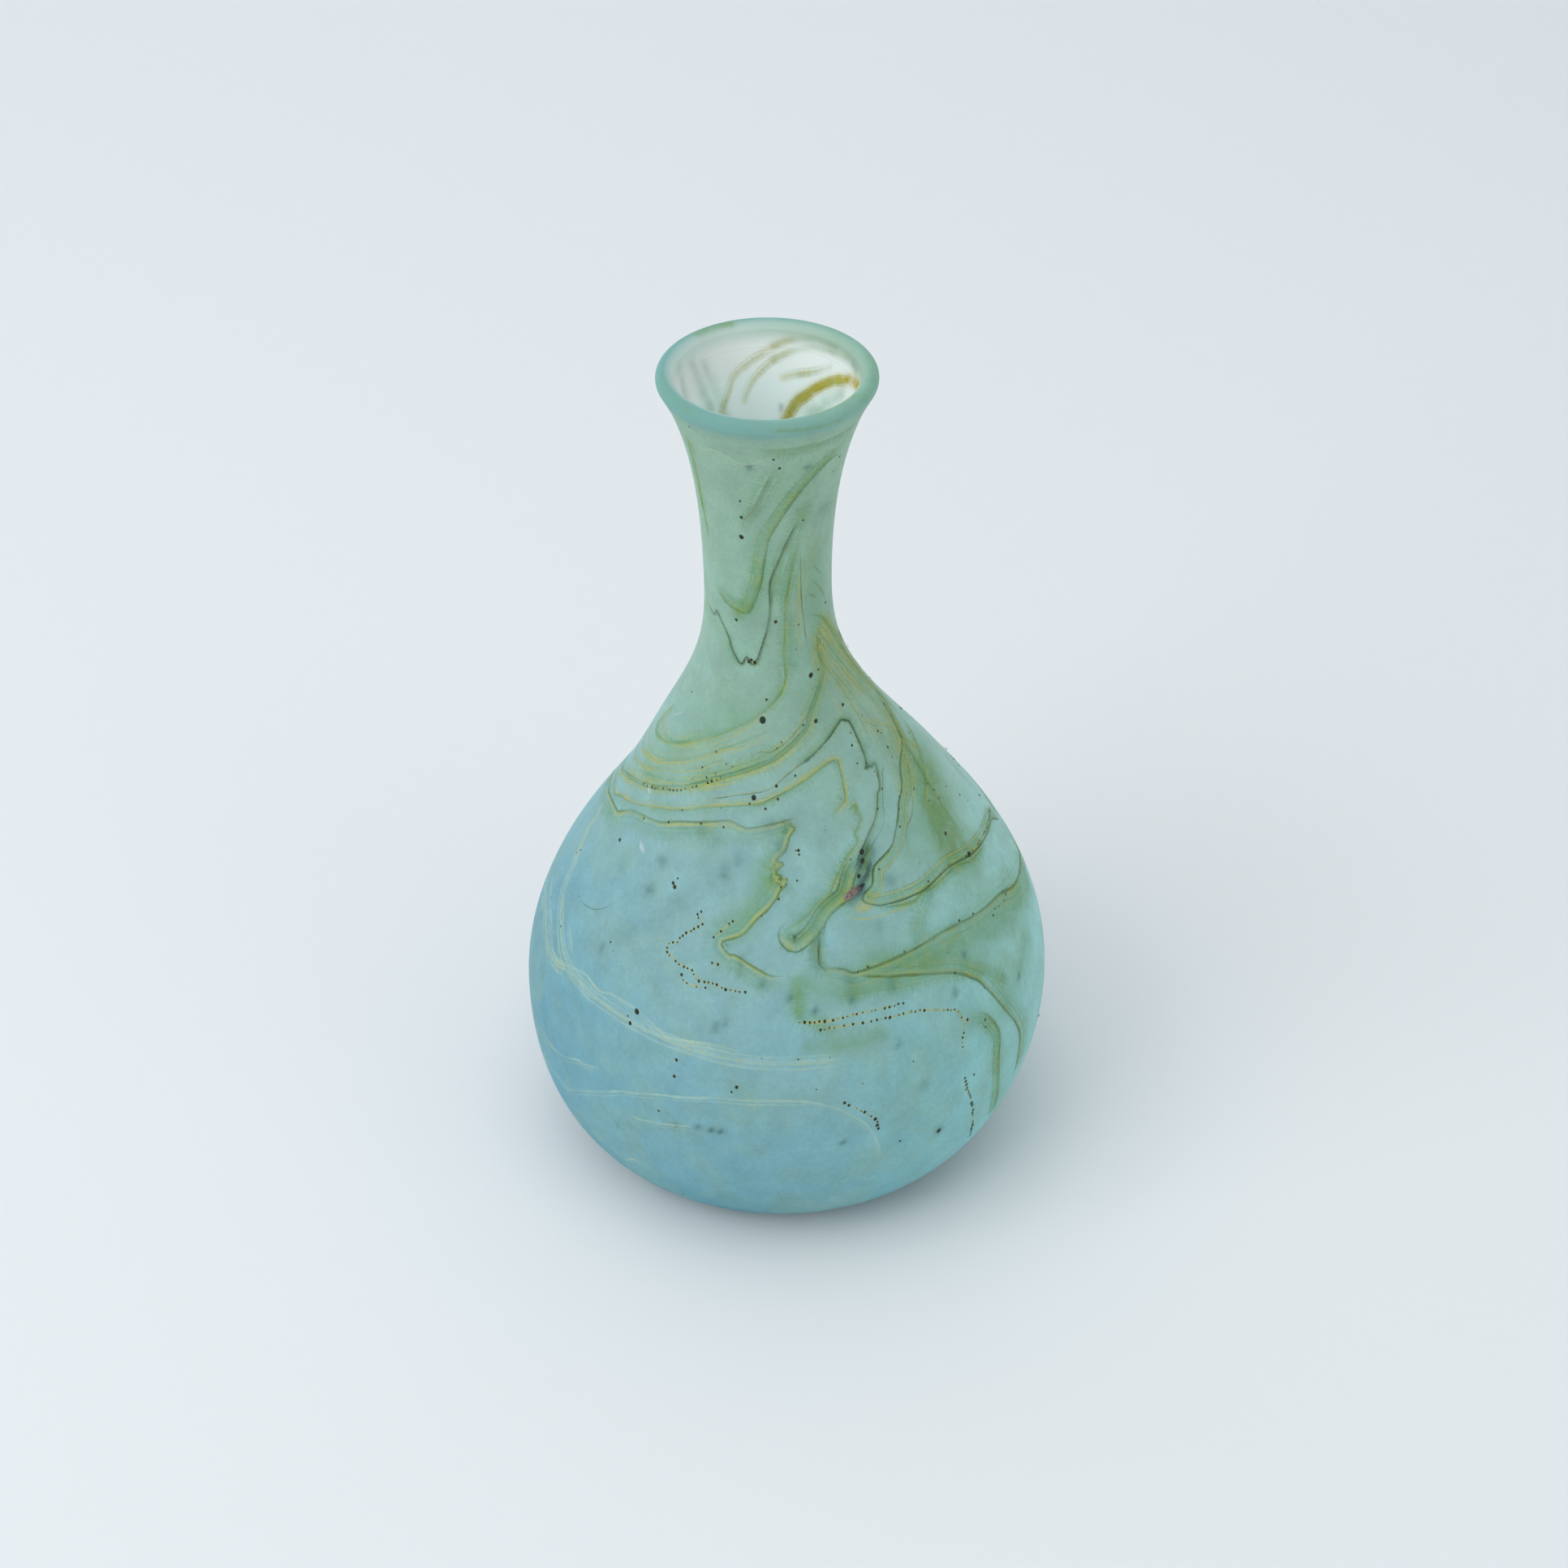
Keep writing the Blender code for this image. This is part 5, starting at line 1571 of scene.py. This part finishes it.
class VASE_OT_lip(bpy.types.Operator):
    """Turns the thread of glass wrapped round the mouth and melts both its edges into the wall"""

    bl_idname = "vase.lip"
    bl_label = "Wrapped lip"

    def execute(self, context):
        radius = context.scene.vase_sizes.lip_radius
        centre_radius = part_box("lip_wrap")[1][0] - lean_at(MOUTH_HEIGHT) - radius
        centre = np.array((centre_radius, LIP_TOP - radius))

        def on_bead(turn):
            return centre + radius * np.stack((np.cos(turn), np.sin(turn)), -1)

        # The bead runs from outside and below, over the crown, to the inside.
        turns = np.radians(np.linspace(-30.0, 176.0, BEAD_ROWS))
        bead = on_bead(turns)
        flare = np.array((math.sin(MOUTH_FLARE), math.cos(MOUTH_FLARE)))
        # Outside, a skirt melts into the wall, and its hem turns in under the wall's skin.
        outer, below = outline_at([3.89, SEAM_STATION])
        out = outline_normal([3.88])[0]
        skirt = np.array((
            outer + 0.01 * MM * out, outer + 1.7 * MM * flare,
            bead[0] - 0.9 * MM * np.array((0.5, 0.87)), bead[0],
        ))
        skirt = bezier(np.repeat(skirt[None], SKIRT_ROWS, 0), np.linspace(0.0, 0.95, SKIRT_ROWS))
        hem = np.array((outer - 1.1 * MM * out, below - 0.05 * MM * out))
        # Inside, a lining does the same down into the neck.
        inner, deeper = inner_outline(np.array((3.92, 3.89)))
        lining = np.array((
            bead[-1], bead[-1] - (0.0, 1.0 * MM), inner + 1.2 * MM * flare, inner - 0.02 * MM * out,
        ))
        lining = bezier(np.repeat(lining[None], LINING_ROWS, 0), np.linspace(0.1, 1.0, LINING_ROWS))
        tuck = np.array((deeper + 0.05 * MM * out, inner + 1.1 * MM * out))
        profile = np.vstack((hem, skirt, bead, lining, tuck))

        ends = (0.0, 0.0)
        lip = np.concatenate((
            ends, np.linspace(0.0, 1.0, SKIRT_ROWS) ** 2.2, np.ones(BEAD_ROWS),
            np.linspace(0.9, 0.0, LINING_ROWS), ends,
        ))
        crown = np.clip((np.degrees(turns) - 84.0) / 80.0, 0.0, 1.0)
        inside = np.concatenate((ends, np.zeros(SKIRT_ROWS), crown, np.ones(LINING_ROWS + len(ends))))
        glow = LIP_GLOW * np.clip(1.2 * lip - 0.2, 0.0, 1.0)
        values = {"lip": lip, "inside": inside, "glow": glow}
        mesh = turned_mesh("wrapped_lip", profile, LIP_COLUMNS, True, values)
        strokes = brushed(inner_point, INSIDE_WISPS)
        for key, half_width, strength, route in LIP_STREAKS:
            places = np.radians(smooth_route(route, 6))
            section = on_bead(places[:, 1])
            line = on_ring(section[:, 0], section[:, 1], places[:, 0])
            strokes.append((key, half_width, strength, line))
        stain(mesh, strokes)
        piece = show("wrapped_lip", mesh, teal_satin_glass())
        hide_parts("lip_wrap")
        return {"FINISHED"}


def lay_threads(name, strokes, inside=False):
    """Sweeps some strokes of threads over the wall's outer or inner face as one piece."""
    sizes = bpy.context.scene.vase_sizes
    inputs = {
        "Wall": bpy.data.objects["blown_wall"],
        "Step": sizes.thread_step,
        "Lift": sizes.thread_lift,
        "Wander": sizes.thread_wander,
        "Wander Scale": WANDERS_PER_METRE,
        "Seed": 7.0,
        "Strips": THREAD_STRIPS,
    }
    for glass, (material, *_) in THREAD_GLASSES.items():
        inputs[glass] = bpy.data.materials[material]
    guide = guide_mesh(name, strokes, inside)
    piece = show(name, grown(name, guide, bpy.data.node_groups["thread_sweep"], inputs))
    over_the_wall(piece)
    return piece


class VASE_OT_trails(bpy.types.Operator):
    """Lays the ten marbled trails and the finer threads between them over the wall"""

    bl_idname = "vase.trails"
    bl_label = "Marbled trails"

    def execute(self, context):
        thread_sweep()
        for recipe in THREAD_GLASSES.values():
            thread_glass(*recipe)
        for node, strokes in INLAID_TRAILS.items():
            piece = lay_threads(node + "_threads", strokes)
            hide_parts(node)
        for name, strokes in FINE_THREADS.items():
            lay_threads(name, strokes)
        strung = [("blister_thread", route) for _, route in SEED_STRINGS]
        lay_threads("blister_threads", strung)
        lay_threads("inside_threads", INSIDE_THREADS, inside=True)
        return {"FINISHED"}


def stone_mesh():
    """A crumb of unmelted batch, blunt at one end and drawn out at the other."""
    ends = wall_point(np.array(STONE_ENDS))
    middle = np.array((STONE_MIDDLE,))
    centre, normal = wall_point(middle)[0], wall_normal(middle)[0]
    along = (ends[1] - ends[0]) / np.linalg.norm(ends[1] - ends[0])
    side = np.cross(normal, along)
    half_length, half_width, half_height = STONE_HALF_SIZES
    made = bmesh.new()
    bmesh.ops.create_icosphere(made, subdivisions=4, radius=1.0)
    drawn = []
    for vert in made.verts:
        x, y, z = vert.co
        lump = 1.0 + 0.12 * noise.noise(2.2 * vert.co)
        narrow = 0.9 * (1.0 - 0.35 * x)
        drawn.append(min(1.0, max(0.0, 1.6 * x - 0.1 + 0.4 * noise.noise(4.0 * vert.co))))
        spot = centre + half_length * MM * x * lump * along
        rise = half_height * z * lump - STONE_SINK
        vert.co = spot + half_width * MM * y * narrow * lump * side + rise * MM * normal
    mesh = bpy.data.meshes.new("pink_stone")
    made.to_mesh(mesh)
    made.free()
    store(mesh, {"drawn_out": drawn})
    mesh.shade_smooth()
    return mesh


class VASE_OT_seeds(bpy.types.Operator):
    """Sets the strings of blisters, the burnt specks and the pink stone in the wall"""

    bl_idname = "vase.seeds"
    bl_label = "Seeds and stone"

    def execute(self, context):
        spacing = context.scene.vase_sizes.seed_spacing
        tree = seed_string()
        looks = {"Pit": burnt_seed(), "Halo": amber_halo()}
        strung = [
            (STRUNG_SWELL * radius, STRUNG_HALO, smooth_route(route), True)
            for radius, route in SEED_STRINGS
        ]
        sprinkled = [(*TRAIL_SPECK, smooth_route(route), True) for route in TRAIL_SPECKS]
        single = [
            (SPECK_SHRINK * radius, HALO_SHRINK * halo, np.array(places, float), False)
            for radius, halo, places in SPECKS
        ]
        for name, seeds, given in (
            ("blister_strings", strung,
             {"Strung": True, "Spacing": spacing, "Jitter": 0.14 * MM, "Keep": 0.86}),
            ("trail_specks", sprinkled,
             {"Strung": True, "Spacing": 2.0 * spacing, "Jitter": 0.6 * MM, "Keep": 0.6}),
            ("burnt_specks", single,
             {"Strung": False, "Spacing": spacing, "Jitter": 0.0, "Keep": 1.0}),
        ):
            inputs = {"Lift": SEED_LIFT, "Seed": 11, **given, **looks}
            piece = show(name, grown(name, seed_guide(name, seeds), tree, inputs))
            over_the_wall(piece)
        show("pink_stone", stone_mesh(), pink_stone())
        return {"FINISHED"}


# The paper sweep: where it starts to bend up behind the vase, the bend's radius, how high it goes,
# how far it reaches to the other sides, and how far it lies under the foot.
PAPER_DEPTH, PAPER_BEND, PAPER_TOP = 0.62, 0.35, 2.5
PAPER_REACH = 14.0
PAPER_DROP = 0.05 * MM

# Soft light panels: width, power in watts, place and what they face.
PANELS = (
    ("key_panel", 1.3, 9.5, (-1.2, -0.85, 1.1), (-0.1, -0.1, 0.05)),
    ("top_panel", 1.6, 6.5, (-0.35, -0.25, 1.65), (-0.1, -0.1, 0.0)),
    ("fill_panel", 0.8, 1.2, (1.1, -0.8, 0.6), (0.0, 0.0, 0.08)),
)

# The camera stands over the front edge of the table and looks down at this many degrees.
LENS = 74.53
CAMERA_PLACE = (-0.000577, -0.56292, 0.50876)
CAMERA_DIP = 36.722


class VASE_OT_stage(bpy.types.Operator):
    """Adds a pale paper sweep, soft studio lights and the camera"""

    bl_idname = "vase.stage"
    bl_label = "Studio stage"

    def execute(self, context):
        scene = context.scene
        paper = bpy.data.materials.new("white_paper")
        paper.use_nodes = True
        shader = paper.node_tree.nodes["Principled BSDF"]
        shader.inputs["Base Color"].default_value = linear("#f1f4f6")
        shader.inputs["Roughness"].default_value = 0.9
        shader.inputs["Specular IOR Level"].default_value = 0.1
        # The paper lies a hair under the foot ring, so the two faces don't coincide.
        turn = np.linspace(0.0, np.pi / 2, 24)
        curve = [
            (PAPER_DEPTH + PAPER_BEND * math.sin(a), PAPER_BEND * (1 - math.cos(a)) - PAPER_DROP)
            for a in turn
        ]
        profile = [(-PAPER_REACH, -PAPER_DROP), *curve, (PAPER_DEPTH + PAPER_BEND, PAPER_TOP)]
        mesh = bpy.data.meshes.new("paper_sweep")
        verts = [(x, y, z) for y, z in profile for x in (-PAPER_REACH, PAPER_REACH)]
        faces = [(2 * i, 2 * i + 1, 2 * i + 3, 2 * i + 2) for i in range(len(profile) - 1)]
        mesh.from_pydata(verts, [], faces)
        mesh.materials.append(paper)
        mesh.shade_smooth()
        sweep = bpy.data.objects.new("paper_sweep", mesh)
        scene.collection.objects.link(sweep)

        for name, size, power, place, target in PANELS:
            data = bpy.data.lights.new(name, "AREA")
            data.size = size
            data.energy = power
            light = bpy.data.objects.new(name, data)
            light.location = place
            way = Vector(target) - light.location
            light.rotation_euler = way.to_track_quat("-Z", "Y").to_euler()
            scene.collection.objects.link(light)

        world = bpy.data.worlds.new("studio")
        world.use_nodes = True
        background = world.node_tree.nodes["Background"]
        background.inputs["Color"].default_value = (0.93, 0.97, 1.0, 1.0)
        background.inputs["Strength"].default_value = 0.55
        scene.world = world
        scene.view_settings.view_transform = "Standard"

        data = bpy.data.cameras.new("camera")
        data.lens = LENS
        data.sensor_width = 36.0
        camera = bpy.data.objects.new("camera", data)
        camera.location = CAMERA_PLACE
        camera.rotation_euler = (math.radians(90 - CAMERA_DIP), 0.0, 0.0)
        scene.collection.objects.link(camera)
        scene.camera = camera
        return {"FINISHED"}


class VASE_PT_panel(bpy.types.Panel):
    """Lists the vase's pieces and sizes in the 3D view's sidebar"""

    bl_label = "Glass vase"
    bl_space_type = "VIEW_3D"
    bl_region_type = "UI"
    bl_category = "Glass vase"

    def draw(self, context):
        for group in (context.scene.vase_sizes, context.scene.vase_colours):
            for name in type(group).__annotations__:
                self.layout.prop(group, name)
        for operator in OPERATORS:
            self.layout.operator(operator.bl_idname)


OPERATORS = (VASE_OT_wall, VASE_OT_lip, VASE_OT_trails, VASE_OT_seeds, VASE_OT_stage)
CLASSES = (VaseSizes, VaseColours, *OPERATORS, VASE_PT_panel)


def register():
    for made in CLASSES:
        bpy.utils.register_class(made)
    bpy.types.Scene.vase_sizes = bpy.props.PointerProperty(type=VaseSizes)
    bpy.types.Scene.vase_colours = bpy.props.PointerProperty(type=VaseColours)


def unregister():
    del bpy.types.Scene.vase_colours
    del bpy.types.Scene.vase_sizes
    for made in reversed(CLASSES):
        bpy.utils.unregister_class(made)


def main():
    register()
    bpy.ops.vase.wall()
    bpy.ops.vase.lip()
    bpy.ops.vase.trails()
    bpy.ops.vase.seeds()
    bpy.ops.vase.stage()


if __name__ == "__main__":
    main()
